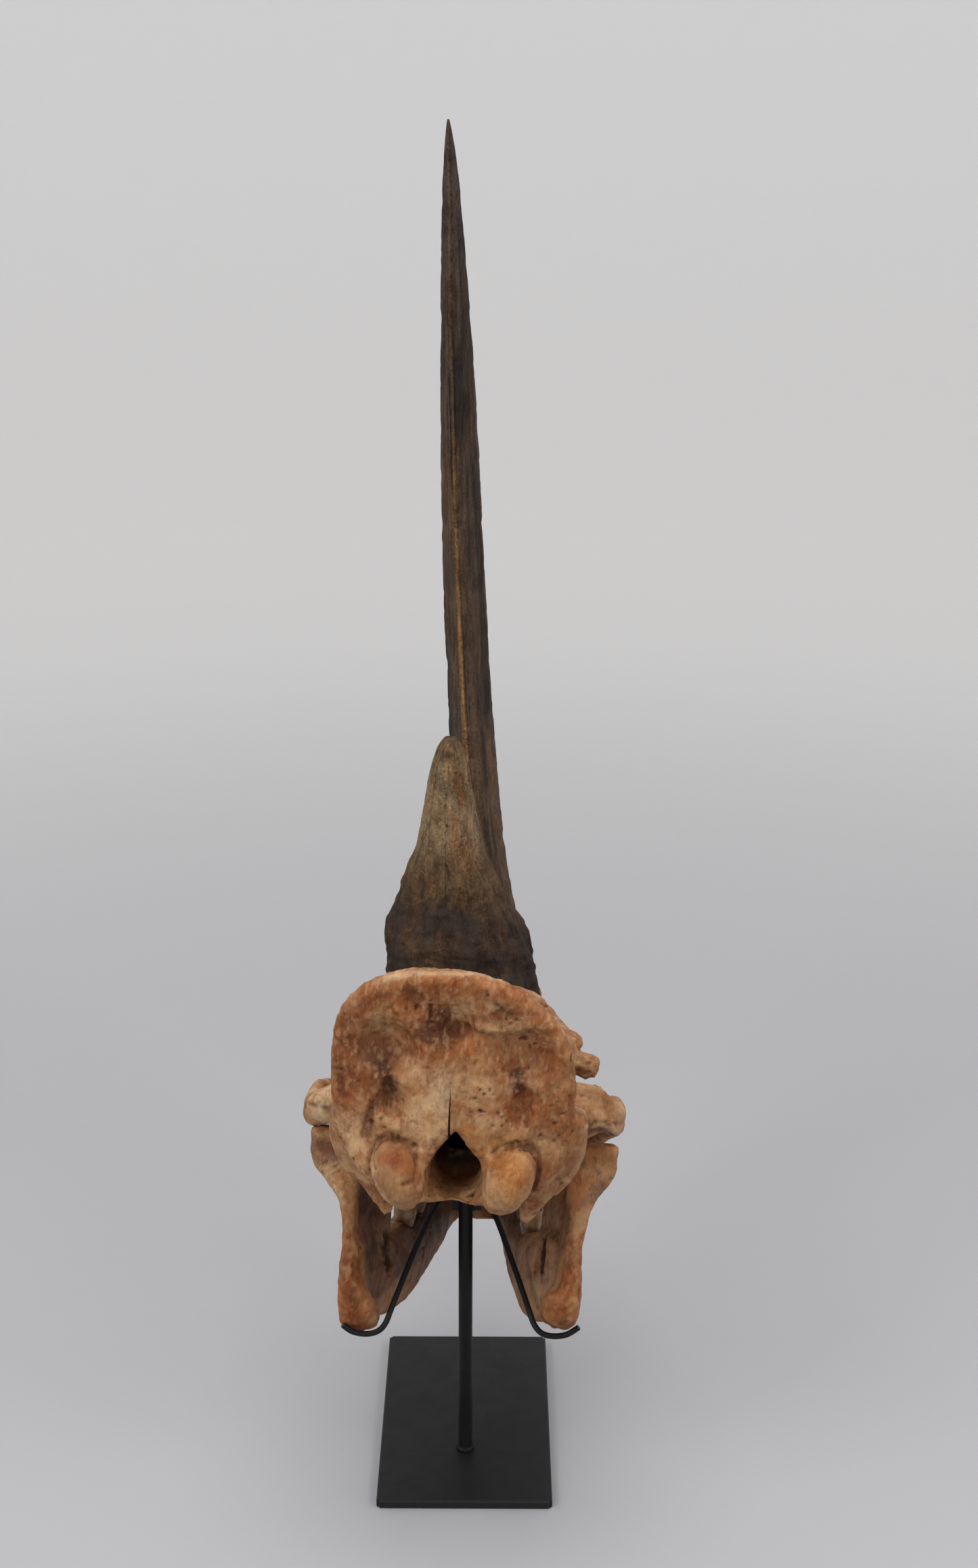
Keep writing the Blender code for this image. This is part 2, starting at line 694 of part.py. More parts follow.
def main():
    clear_scene()
    bone = make_material("bone", (0.56, 0.35, 0.18), 0.55)
    jaw_bone = make_material("jaw_bone", (0.50, 0.30, 0.17), 0.5)
    enamel = make_material("enamel", (0.62, 0.52, 0.38), 0.35)
    horn_dark = make_material("horn_dark", (0.10, 0.07, 0.05), 0.6)
    horn_light = make_material("horn_light", (0.22, 0.16, 0.10), 0.6)
    steel = make_material("black_steel", (0.012, 0.012, 0.013), 0.5)

    rotation = (
        Matrix.Rotation(-SKULL_TURN, 4, "Z")
        @ Matrix.Rotation(-SKULL_NOSE_DOWN, 4, "X")
        @ Matrix.Rotation(SKULL_ROLL, 4, "Y")
    )
    skull = make_frame("skull_frame", SKULL_PLACE, rotation)
    jaw_frame = make_frame("jaw_frame", (0, 0, -JAW_DROP), Matrix.Rotation(JAW_ROLL, 4, "Y"), skull)

    cranium = build_cranium(skull, bone)
    jaw = build_jaw(jaw_frame, jaw_bone)
    sockets = build_teeth({"upper": skull, "lower": jaw_frame}, enamel)
    seat = swollen_copy(cranium, "skull_seat", FIT_GAP)
    rod_cutters = [cradle_clearance(side) for side in (-1, 1)]
    add_cut(jaw, seat, "joint")
    for cutter in rod_cutters:
        add_cut(jaw, cutter, "rod")
    for bone_piece, row in ((cranium, "upper"), (jaw, "lower")):
        add_cut(bone_piece, sockets[row], "sockets")
        settle(bone_piece)
        bone_piece.data.shade_smooth()

    build_horns(skull, horn_dark, horn_light, seat)
    build_base_plate(steel)
    build_post(steel, seat)
    build_bracket(steel, rod_cutters)
    for side, name in ((-1, "left_cradle"), (1, "right_cradle")):
        build_cradle(side, name, steel)


main()
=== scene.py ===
"""A woolly rhinoceros skull on its stand: full-detail bone, horn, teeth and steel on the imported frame."""

import math

import bmesh
import bpy
import numpy as np
from mathutils import Matrix, Vector
from mathutils.bvhtree import BVHTree


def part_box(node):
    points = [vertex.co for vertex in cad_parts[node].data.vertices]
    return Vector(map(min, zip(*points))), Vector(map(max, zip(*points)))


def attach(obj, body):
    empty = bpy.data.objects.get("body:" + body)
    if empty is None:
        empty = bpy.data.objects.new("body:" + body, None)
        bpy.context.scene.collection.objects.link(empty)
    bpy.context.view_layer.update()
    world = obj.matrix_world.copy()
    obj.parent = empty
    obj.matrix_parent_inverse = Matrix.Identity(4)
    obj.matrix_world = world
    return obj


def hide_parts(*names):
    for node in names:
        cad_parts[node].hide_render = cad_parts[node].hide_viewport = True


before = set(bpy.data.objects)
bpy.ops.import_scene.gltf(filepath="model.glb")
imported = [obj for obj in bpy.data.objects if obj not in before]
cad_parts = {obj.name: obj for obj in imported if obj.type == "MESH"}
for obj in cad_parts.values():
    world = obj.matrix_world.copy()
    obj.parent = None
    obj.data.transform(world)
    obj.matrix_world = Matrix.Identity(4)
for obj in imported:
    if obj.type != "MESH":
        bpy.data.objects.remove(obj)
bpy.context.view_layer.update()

MM = 0.001

# The skull's own frame, as the solids have it: sizes in millimetres, origin between the condyles
ZYGOMATIC_HALF_BREADTH = {-1: 180, 1: 172}  # left, right
OCCIPUT_HALF_BREADTH = 127
OCCIPITAL_CREST_HEIGHT = 221
CREST_SWAY = 6.5
NASAL_TIP_REACH = 690
NASAL_HORN_LENGTH = 1098
KEEL_TURN = 0.10
FRONTAL_HORN_LENGTH = 322
POST_DIAMETER = 16
CRADLE_DIAMETER = 6.5
SKULL_PLACE = (-9.6, -272, 471)
SKULL_NOSE_DOWN = math.radians(12)
SKULL_TURN = math.radians(4)
SKULL_ROLL = math.radians(1.5)
JAW_DROP = 5.5
JAW_ROLL = math.radians(0.2)

SKULL = Matrix.Translation(Vector(SKULL_PLACE) * MM) @ (
    Matrix.Rotation(-SKULL_TURN, 4, "Z")
    @ Matrix.Rotation(-SKULL_NOSE_DOWN, 4, "X")
    @ Matrix.Rotation(SKULL_ROLL, 4, "Y")
)
JAW = SKULL @ Matrix.Translation((0, 0, -JAW_DROP * MM)) @ Matrix.Rotation(JAW_ROLL, 4, "Y")

# The photograph's view, for the camera and for marks placed by their pixel
PHOTO_SIZE = (1445, 2316)
LENS, SENSOR = 50, 36
EYE = Vector((0.0245, -2.296, 1.515))
LOOK = Matrix.Rotation(math.radians(90 - 17.12), 3, "X") @ Matrix.Rotation(math.radians(0.25), 3, "Z")

# Marks on the bone, by the photograph's pixels
LEFT_FACET = [(553, 1726), (552, 1702), (561, 1688), (582, 1682), (603, 1685), (615, 1694)]
RIGHT_FACET = [(727, 1704), (738, 1693), (763, 1688), (786, 1703), (794, 1728), (786, 1760), (770, 1780)]
CREST_RIM_HIGHLIGHT = [(497, 1480), (555, 1450), (616, 1437), (670, 1438), (747, 1451), (793, 1474), (824, 1504)]
RIGHT_BLOCK_CORNER = (906, 1632)
JOINT_SHADOW_LINE = [(868, 1674), (886, 1671), (902, 1678)]
JOINT_RIM_HIGHLIGHT = [(864, 1664), (886, 1658), (904, 1664), (911, 1676)]
LEFT_INNER_EDGE = [(613, 1692), (616, 1720), (612, 1744), (596, 1750)]
LEFT_INNER_LIP = [(622, 1700), (624, 1728), (620, 1756)]
RIGHT_INNER_LIP = [(723, 1708), (722, 1740), (724, 1778)]
HOLE_FLOOR = [(634, 1756), (668, 1760), (702, 1756)]
HOLE_LIP = [(650, 1764), (690, 1764)]
LEFT_SLIT = [(572, 1826), (572, 1848), (576, 1872)]
RIGHT_SLIT = [(802, 1830), (801, 1852), (798, 1876)]

# The split in the nape, in metres: how far left of the middle it runs, its half widths, and where it ends
SPLIT_OFFSET = 0.0060
SPLIT_WANDER = 0.0022
SPLIT_HALF_WIDTHS = (0.0011, 0.0002)
SPLIT_NARROWS = (0.044, 0.092)
SPLIT_EDGE = 0.0004
SPLIT_TOP = (0.084, 0.094)
SPLIT_FOOT = (0.030, 0.034)
SPLIT_BACK = (0.010, 0.020)

# How finely the pieces are made
BONE_VOXEL = 0.0040
JAW_VOXEL = 0.0030
BODY_STEPS = 4
LIMB_STEPS, LIMB_SIDES = 6, 24


# Noise: smooth value noise on a hashed lattice, the same on every run

def lattice(i, j, k, seed):
    h = (i * 374761393 + j * 668265263 + k * 2147483647 + seed * 144665) & 0xFFFFFFFF
    h = ((h ^ (h >> 13)) * 1274126177) & 0xFFFFFFFF
    h = ((h ^ (h >> 16)) * 2246822519) & 0xFFFFFFFF
    return (h ^ (h >> 15)).astype(np.float64) / 0xFFFFFFFF


def noise(points, scale, seed):
    """Value noise from -1 to 1. scale is the size of one cell, one number or one for each axis."""
    p = np.asarray(points, float) / np.asarray(scale, float)
    cell = np.floor(p).astype(np.int64)
    t = p - cell
    t = t * t * t * (t * (t * 6 - 15) + 10)
    total = 0
    for dx in (0, 1):
        wx = t[:, 0] if dx else 1 - t[:, 0]
        for dy in (0, 1):
            wy = t[:, 1] if dy else 1 - t[:, 1]
            for dz in (0, 1):
                wz = t[:, 2] if dz else 1 - t[:, 2]
                value = lattice(cell[:, 0] + dx, cell[:, 1] + dy, cell[:, 2] + dz, seed)
                total = total + wx * wy * wz * value
    return total * 2 - 1


def fractal(points, scale, octaves, seed):
    """Noise with finer noise added, each octave half as strong as the last."""
    total, strength, size = 0, 1.0, np.asarray(scale, float)
    for octave in range(octaves):
        total = total + strength * noise(points, size, seed + octave * 17)
        size = size / 2.03
        strength *= 0.5
    return total


def smoothstep(low, high, value):
    t = np.clip((value - low) / (high - low), 0, 1)
    return t * t * (3 - 2 * t)


# Shape helpers

def object_from(builder, name):
    mesh = bpy.data.meshes.new(name)
    bmesh.ops.recalc_face_normals(builder, faces=builder.faces)
    builder.to_mesh(mesh)
    builder.free()
    obj = bpy.data.objects.new(name, mesh)
    bpy.context.scene.collection.objects.link(obj)
    return obj


def through(keys, steps):
    """A smooth line of rows through the key rows, with that many steps between neighbours."""
    rows = np.array([keys[0], *keys, keys[-1]], float)
    made = []
    for i in range(1, len(rows) - 2):
        before, start, end, after = rows[i - 1 : i + 3]
        for step in range(steps):
            t = step / steps
            made.append(
                0.5 * (2 * start + (end - before) * t
                       + (2 * before - 5 * start + 4 * end - after) * t ** 2
                       + (3 * start - before - 3 * end + after) * t ** 3)
            )
    made.append(rows[-2])
    return made


def rounded(angle, power):
    """A point of the unit superellipse: power 2 is an ellipse, and more is squarer."""
    c, s = math.cos(angle), math.sin(angle)
    return (math.copysign(abs(c) ** (2 / power), c), math.copysign(abs(s) ** (2 / power), s))


def loft(shell, rings):
    made = [[shell.verts.new(Vector(p) * MM) for p in ring] for ring in rings]
    sides = len(made[0])
    for low, high in zip(made, made[1:]):
        for i in range(sides):
            j = (i + 1) % sides
            shell.faces.new((low[i], low[j], high[j], high[i]))
    shell.faces.new(list(reversed(made[0])))
    shell.faces.new(made[-1])


def add_body(shell, keys, sides=48):
    """A body of upright sections along Y. Each key is y, top, bottom, half width, power."""
    rings = []
    for y, top, bottom, half_width, power in through(keys, BODY_STEPS):
        middle, half_height = (top + bottom) / 2, (top - bottom) / 2
        ring = []
        for i in range(sides):
            u, v = rounded(2 * math.pi * i / sides, power)
            ring.append((u * half_width, y, middle + v * half_height))
        rings.append(ring)
    loft(shell, rings)


def add_limb(shell, keys, up=(0, 0, 1), power=2.4):
    """A limb along a path. Each key is x, y, z, half thickness, half height towards up."""
    rows = through(keys, LIMB_STEPS)
    rings = []
    for i, row in enumerate(rows):
        here = Vector(row[:3])
        ahead = Vector(rows[min(i + 1, len(rows) - 1)][:3])
        behind = Vector(rows[max(i - 1, 0)][:3])
        along = (ahead - behind).normalized()
        side = along.cross(Vector(up)).normalized()
        rise = side.cross(along)
        ring = []
        for k in range(LIMB_SIDES):
            u, v = rounded(2 * math.pi * k / LIMB_SIDES, power)
            ring.append(here + side * (u * row[3]) + rise * (v * row[4]))
        rings.append(ring)
    loft(shell, rings)


def add_ball(shell, centre, radii, tilt=0.0):
    matrix = (
        Matrix.Translation(Vector(centre) * MM)
        @ Matrix.Rotation(tilt, 4, "Y")
        @ Matrix.Diagonal((*(Vector(radii) * MM), 1))
    )
    bmesh.ops.create_icosphere(shell, subdivisions=4, radius=1, matrix=matrix)


def mirrored(keys, side):
    return [(side * row[0], *row[1:]) for row in keys]


def settle(obj):
    """Replaces the object's mesh by what its modifiers make of it."""
    graph = bpy.context.evaluated_depsgraph_get()
    mesh = bpy.data.meshes.new_from_object(obj.evaluated_get(graph))
    obj.modifiers.clear()
    obj.data = mesh


def fused(obj, voxel, smooth):
    """Voxel remesh, then a light smoothing, baked into the mesh."""
    modifier = obj.modifiers.new("fuse", "REMESH")
    modifier.mode = "VOXEL"
    modifier.voxel_size = voxel
    modifier.use_smooth_shade = True
    if smooth:
        modifier = obj.modifiers.new("soften", "SMOOTH")
        modifier.factor = 0.5
        modifier.iterations = smooth
    settle(obj)


def cut(obj, cutter):
    modifier = obj.modifiers.new("open", "BOOLEAN")
    modifier.operation = "DIFFERENCE"
    modifier.object = cutter
    modifier.solver = "EXACT"
    settle(obj)
    bpy.data.objects.remove(cutter)


# Sculpting

# Turns the noise's lattice away from the skull's axes, so that its cells don't show as upright bars
ASKEW = np.array(Matrix.Rotation(0.7, 3, "X") @ Matrix.Rotation(0.6, 3, "Y") @ Matrix.Rotation(0.5, 3, "Z"))


class Clay:
    """A piece's mesh as numbers, in millimetres of its own frame, with a painted tint for each point."""

    def __init__(self, obj, to_world, base):
        self.obj = obj
        self.to_world = to_world
        self.tree = None
        self.masks = {}
        self.reread()
        self.tint = np.tile(np.array(base, float), (len(self.p), 1))

    def reread(self):
        mesh = self.obj.data
        flat = np.empty(len(mesh.vertices) * 3)
        mesh.vertices.foreach_get("co", flat)
        self.p = flat.reshape(-1, 3) / MM
        pairs = np.empty(len(mesh.edges) * 2, np.int32)
        mesh.edges.foreach_get("vertices", pairs)
        self.edges = pairs.reshape(-1, 2)
        askew = self.p @ ASKEW
        self.rag = fractal(askew, 7, 3, 901)
        self.specks = fractal(askew, 3.4, 2, 902)
        self.refresh()

    def refresh(self):
        """Writes the places back to the mesh and reads its normals again."""
        mesh = self.obj.data
        mesh.vertices.foreach_set("co", (self.p * MM).ravel())
        mesh.update()
        flat = np.empty(len(self.p) * 3)
        mesh.vertices.foreach_get("normal", flat)
        self.n = flat.reshape(-1, 3)
        self.tree = None

    def relaxed(self, values, times):
        """Values averaged with those of neighbouring points, so many times over."""
        a, b = self.edges.T
        count = len(self.p)
        near = np.bincount(a, minlength=count) + np.bincount(b, minlength=count)
        near = np.maximum(near, 1)[:, None]
        for _ in range(times):
            total = np.stack([
                np.bincount(a, values[b, k], count) + np.bincount(b, values[a, k], count)
                for k in range(values.shape[1])
            ], axis=1)
            values = 0.5 * values + 0.5 * total / near
        return values

    def hollows(self, times):
        """How far each point lies below the smoothed surface, in millimetres."""
        return ((self.relaxed(self.p, times) - self.p) * self.n).sum(axis=1)

    def push(self, amount):
        self.p = self.p + self.n * np.asarray(amount)[:, None]

    def paint(self, color, share):
        share = np.clip(share, 0, 1)[:, None]
        self.tint = self.tint * (1 - share) + np.array(color) * share

    def hit_pixel(self, x, y):
        """The point of this piece, in its own frame, that the photograph's pixel shows."""
        if self.tree is None:
            self.tree = BVHTree.FromPolygons(
                [Vector(v) for v in self.p], [tuple(f.vertices) for f in self.obj.data.polygons])
        scale = SENSOR / (PHOTO_SIZE[1] * LENS)
        ray = LOOK @ Vector(((x - PHOTO_SIZE[0] / 2) * scale, (PHOTO_SIZE[1] / 2 - y) * scale, -1))
        back = self.to_world.inverted()
        place = self.tree.ray_cast((back @ EYE) / MM, (back.to_3x3() @ ray).normalized())[0]
        return None if place is None else np.array(place)

    def along(self, line):
        """Distance from each point to a line through places, and how far along it that is."""
        line = [np.asarray(q, float) for q in line]
        if len(line) == 1:
            return np.linalg.norm(self.p - line[0], axis=1), np.full(len(self.p), 0.5)
        best, where = np.full(len(self.p), 1e9), np.zeros(len(self.p))
        for i, (a, b) in enumerate(zip(line, line[1:])):
            way = b - a
            t = np.clip(((self.p - a) @ way) / max(way @ way, 1e-9), 0, 1)
            far = np.linalg.norm(self.p - (a + t[:, None] * way), axis=1)
            where = np.where(far < best, (i + t) / (len(line) - 1), where)
            best = np.minimum(far, best)
        return best, where

    def stroke(self, line, width, depth=0.0, color=None, amount=0.8, taper=False, rag=0.35):
        """A ridge, or a groove with depth below zero, and a band of colour, along a line."""
        line = [q for q in line if q is not None]
        if not line:
            return
        far, where = self.along(line)
        far = np.maximum(far + rag * width * self.rag, 0)
        shape = np.exp(-((far / width) ** 2))
        if taper:
            shape = shape * np.sin(np.clip(where, 0.03, 0.97) * math.pi) ** 0.6
        if depth:
            self.push(shape * depth)
        if color is not None:
            edge = smoothstep(0.12, 0.80, shape + (0.30 * self.rag + 0.22 * self.specks) * (shape > 0.05))
            self.paint(color, edge * amount)

    def pixels(self, points, width, depth=0.0, color=None, **more):
        """The same, along a line given by the photograph's pixels."""
        self.stroke([self.hit_pixel(x, y) for x, y in points], width, depth, color, **more)

    def nearest(self, place):
        return self.p[np.argmin(np.linalg.norm(self.p - place, axis=1))]

    def cloud(self, layers, p):
        """Broad clouds of colour: colour, share, the noise's low and high limits, size, octaves, seed."""
        for color, share, low, high, size, octaves, seed in layers:
            self.paint(color, share * smoothstep(low, high, fractal(p, size, octaves, seed)))

    def pit(self, p, fine, patches, bias, share, depth, stain):
        """Small stained pits in patches. fine and patches are each a noise's size and seed."""
        pits = np.clip(noise(p, *fine) - 0.50, 0, 1) * np.clip(noise(p, *patches) + bias, 0, 1) * share
        self.push(-depth * pits)
        self.paint(UMBER, stain * pits)
        self.refresh()

    def carve(self, marks):
        for line, width, height, rag in marks:
            self.pixels(line, width, height, rag=rag)
        self.refresh()

    def dye(self, marks):
        for line, width, color, share in marks:
            self.pixels(line, width, color=color, amount=share)

    def finish(self, name, material, nodes):
        """Writes the tint, moves the piece into the object's frame and sets it in place of its nodes."""
        mesh = self.obj.data
        world = self.p * MM @ np.array(self.to_world.to_3x3()).T + np.array(self.to_world.translation)
        low = np.min([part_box(node)[0] for node in nodes], axis=0)
        high = np.max([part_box(node)[1] for node in nodes], axis=0)
        world = np.clip(world, np.array(low), np.array(high))
        mesh.vertices.foreach_set("co", world.ravel())
        mesh.update()
        for key, values in self.masks.items():
            layer = mesh.attributes.new(key, "FLOAT", "POINT")
            layer.data.foreach_set("value", np.asarray(values, np.float32))
        layer = mesh.attributes.new("local", "FLOAT_VECTOR", "POINT")
        layer.data.foreach_set("vector", (self.p * MM).astype(np.float32).ravel())
        layer = mesh.attributes.new("tint", "FLOAT_COLOR", "POINT")
        rgba = np.concatenate([np.clip(self.tint, 0, 1), np.ones((len(self.p), 1))], axis=1)
        layer.data.foreach_set("color", rgba.astype(np.float32).ravel())
        mesh.materials.clear()
        mesh.materials.append(material)
        mesh.shade_smooth()
        self.obj.name = name
        mesh.name = name
        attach(self.obj, "root")
        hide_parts(*nodes)
        return self.obj


# Colours of old bone and horn, as the photograph shows them
CREAM = (0.47, 0.285, 0.145)
PALE = (0.49, 0.355, 0.215)
TAN = (0.30, 0.160, 0.072)
OCHRE = (0.36, 0.160, 0.048)
ORANGE = (0.27, 0.092, 0.026)
RUST = (0.190, 0.058, 0.018)
UMBER = (0.082, 0.031, 0.014)
# NEAR_BLACK: near black, mostly painted shade inside holes, slits, narrow grooves and the braincase
NEAR_BLACK = (0.022, 0.010, 0.006)
PLUM = (0.135, 0.062, 0.044)


# Materials

class Nodes:
    """Short calls for building a material's node tree."""

    def __init__(self, name):
        self.material = bpy.data.materials.new(name)
        self.material.use_nodes = True
        self.tree = self.material.node_tree
        self.shader = self.tree.nodes["Principled BSDF"]

    def put(self, socket, value):
        if isinstance(value, bpy.types.NodeSocket):
            self.tree.links.new(value, socket)
        elif isinstance(value, tuple) and len(value) == 3 and socket.type == "RGBA":
            socket.default_value = (*value, 1)
        else:
            socket.default_value = value

    def new(self, kind, **inputs):
        node = self.tree.nodes.new(kind)
        for key, value in inputs.items():
            self.put(node.inputs[key.replace("_", " ")], value)
        return node

    def read(self, name, output="Color"):
        """What the mesh holds for each point under that name."""
        node = self.tree.nodes.new("ShaderNodeAttribute")
        node.attribute_name = name
        return node.outputs[output]

    def stretched(self, vector, stretch):
        return self.new("ShaderNodeMapping", Vector=vector, Scale=stretch).outputs["Vector"]

    def place(self, stretch=(1, 1, 1)):
        """The piece's own coordinates, in metres, stretched for grain."""
        return self.stretched(self.read("local", "Vector"), stretch)

    def object_place(self):
        return self.tree.nodes.new("ShaderNodeTexCoord").outputs["Object"]

    def axes(self, vector):
        return self.new("ShaderNodeSeparateXYZ", Vector=vector).outputs

    def clouds(self, scale, vector, detail=4.0, rough=0.55, warp=0.0):
        node = self.new("ShaderNodeTexNoise", Vector=vector, Scale=scale, Detail=detail,
                        Roughness=rough, Distortion=warp)
        return node.outputs["Fac"]

    def cells(self, scale, vector, feature="F1"):
        node = self.tree.nodes.new("ShaderNodeTexVoronoi")
        node.feature = feature
        self.put(node.inputs["Vector"], vector)
        self.put(node.inputs["Scale"], scale)
        return node.outputs["Distance"]

    def steps(self, value, low, high, out_low=0.0, out_high=1.0):
        node = self.tree.nodes.new("ShaderNodeMapRange")
        node.interpolation_type = "SMOOTHSTEP"
        for key, v in (("Value", value), ("From Min", low), ("From Max", high),
                       ("To Min", out_low), ("To Max", out_high)):
            self.put(node.inputs[key], v)
        return node.outputs["Result"]

    def math(self, operation, a, b=0.0, clamp=False):
        node = self.tree.nodes.new("ShaderNodeMath")
        node.operation = operation
        node.use_clamp = clamp
        self.put(node.inputs[0], a)
        self.put(node.inputs[1], b)
        return node.outputs[0]

    def times(self, a, b):
        return self.math("MULTIPLY", a, b)

    def both(self, a, b):
        """Where both masks hold."""
        return self.math("MULTIPLY", a, b, True)

    def total(self, first, *more):
        """A height and what is laid on it: each is a height and its share, below zero for a hollow."""
        for height, share in more:
            first = self.math("ADD", first, self.times(height, share))
        return first

    def mix(self, factor, a, b, blend="MIX"):
        node = self.tree.nodes.new("ShaderNodeMix")
        node.data_type = "RGBA"
        node.blend_type = blend
        self.put(node.inputs["Factor"], factor)
        self.put(node.inputs["A"], a)
        self.put(node.inputs["B"], b)
        return node.outputs["Result"]

    def shade(self, color, by):
        return self.mix(1.0, color, by, "MULTIPLY")

    def over(self, color, other, value, low, high, share):
        """The other colour laid over this one where the value runs from low to high."""
        return self.mix(self.steps(value, low, high, 0, share), color, other)

    def bump(self, height, strength, distance):
        node = self.new("ShaderNodeBump", Height=height, Strength=strength, Distance=distance)
        return node.outputs["Normal"]

    def set(self, **values):
        for key, value in values.items():
            self.put(self.shader.inputs[key.replace("_", " ")], value)
        return self.material


def nape_split(t, p):
    """Where the sharp split runs up from the great hole. Its limits are in metres."""
    x, y, z = t.axes(p)
    wander = t.times(t.math("SUBTRACT", t.clouds(60.0, p, 3), 0.5), SPLIT_WANDER)
    off = t.math("ABSOLUTE", t.math("ADD", t.math("ADD", x, SPLIT_OFFSET), wander))
    half = t.steps(z, *SPLIT_NARROWS, *SPLIT_HALF_WIDTHS)
    gap = t.times(t.steps(t.math("SUBTRACT", off, half), 0.0, SPLIT_EDGE, 1.0, 0.0),
                  t.steps(z, *SPLIT_TOP, 1.0, 0.0))
    return t.both(t.both(gap, t.steps(z, *SPLIT_FOOT)), t.steps(y, *SPLIT_BACK, 1.0, 0.0))


def bone_material(name, split=False):
    """Old bone over its painted tint: mottling, pores, dark specks and fine cracks."""
    t = Nodes(name)
    p = t.place()
    tint = t.read("tint")
    middle = t.clouds(30.0, p, 6, 0.62, 0.6)
    blotch = t.clouds(75.0, p, 5, 0.65, 0.3)
    fine = t.clouds(190.0, t.place((1, 1, 0.5)), 5, 0.7)
    grain = t.clouds(420.0, t.place((1, 0.6, 0.22)), 3, 0.6)
    lighter = t.mix(1.0, t.shade(tint, (1.26, 1.30, 1.30)), (0.020, 0.014, 0.007), "ADD")
    color = t.over(tint, t.shade(tint, (0.74, 0.48, 0.32)), middle, 0.42, 0.66, 0.75)
    color = t.over(color, t.shade(tint, (0.46, 0.36, 0.30)), blotch, 0.50, 0.68, 0.50)
    color = t.over(color, lighter, t.clouds(52.0, p, 5, 0.66, 0.4), 0.50, 0.66, 0.55)
    color = t.over(color, t.shade(color, (0.50, 0.36, 0.27)), fine, 0.52, 0.70, 0.55)
    color = t.over(color, lighter, grain, 0.50, 0.72, 0.38)
    # pores and specks, in patches
    pores = t.steps(t.cells(300.0, t.place((1, 1, 0.7))), 0.0, 0.20, 1.0, 0.0)
    patchy = t.both(pores, t.steps(t.clouds(40.0, p, 3), 0.47, 0.60))
    color = t.mix(t.times(patchy, 0.80), color, (0.045, 0.020, 0.012))
    # a few hair cracks along the grain
    web = t.cells(26.0, t.place((1.7, 1.7, 0.38)), "DISTANCE_TO_EDGE")
    crack = t.both(t.steps(web, 0.0, 0.010, 1.0, 0.0), t.steps(t.clouds(13.0, p, 3), 0.55, 0.62))
    color = t.mix(t.times(crack, 0.16), color, (0.060, 0.028, 0.016))
    height = t.total(t.times(fine, 0.8), (grain, 0.35), (blotch, 0.6), (patchy, -0.9), (crack, -0.3))
    if split:
        gap = nape_split(t, p)
        color = t.mix(gap, color, (0.012, 0.006, 0.004))
        height = t.total(height, (gap, -1.6))
    rough = t.steps(middle, 0.3, 0.7, 0.46, 0.68)
    rough = t.math("SUBTRACT", rough, t.times(t.read("polish", "Fac"), 0.14), True)
    return t.set(Base_Color=color, Roughness=rough, Normal=t.bump(height, 0.65, 0.0014),
                 Specular_IOR_Level=0.16)


def horn_material(name, warm, dark):
    """Matted horn over its painted tint: dark fibres along it, warmer cords, mottling, dark grit and pale
    flecks.
    """
    t = Nodes(name)
    tint = t.read("tint")
    p = t.place()
    threads = t.clouds(330.0, t.place((1, 1, 0.07)), 6, 0.68)
    cords = t.clouds(80.0, t.place((1, 1, 0.16)), 5, 0.6, 0.3)
    mottle = t.clouds(42.0, t.place((1, 1, 0.6)), 6, 0.66, 0.5)
    grit = t.clouds(260.0, p, 4, 0.72)
    darker = t.shade(tint, (0.42, 0.36, 0.32))
    color = t.over(tint, darker, mottle, 0.40, 0.62, 0.85)
    color = t.over(color, t.shade(tint, warm), cords, 0.50, 0.70, 0.55)
    color = t.over(color, darker, threads, 0.48, 0.68, 0.60)
    color = t.over(color, dark, grit, 0.52, 0.66, 0.75)
    color = t.over(color, t.shade(tint, (1.85, 1.62, 1.38)), t.clouds(310.0, p, 3, 0.7), 0.56, 0.68, 0.65)
    height = t.total(threads, (grit, 0.9), (cords, 0.8))
    rough = t.steps(threads, 0.3, 0.7, 0.56, 0.78)
    return t.set(Base_Color=color, Roughness=rough, Normal=t.bump(height, 0.9, 0.0022),
                 Specular_IOR_Level=0.09)


def tooth_material():
    """Ribbed enamel over its painted tint, with fine cracks and brown streaks from the gum."""
    t = Nodes("tooth_enamel")
    tint = t.read("tint")
    streaks = t.clouds(230.0, t.place((1, 1, 0.14)), 5, 0.6)
    patch = t.clouds(60.0, t.place(), 4, 0.6)
    color = t.over(tint, t.shade(tint, (0.58, 0.46, 0.36)), patch, 0.38, 0.66, 0.7)
    color = t.over(color, t.shade(tint, (0.45, 0.33, 0.26)), streaks, 0.46, 0.70, 0.7)
    web = t.cells(85.0, t.place((1, 1, 0.28)), "DISTANCE_TO_EDGE")
    crack = t.steps(web, 0.0, 0.016, 0.55, 0.0)
    color = t.mix(crack, color, (0.06, 0.032, 0.02))
    return t.set(Base_Color=color, Roughness=t.steps(patch, 0.3, 0.7, 0.30, 0.50),
                 Normal=t.bump(t.total(streaks, (crack, -0.6)), 0.4, 0.0008), Specular_IOR_Level=0.4)


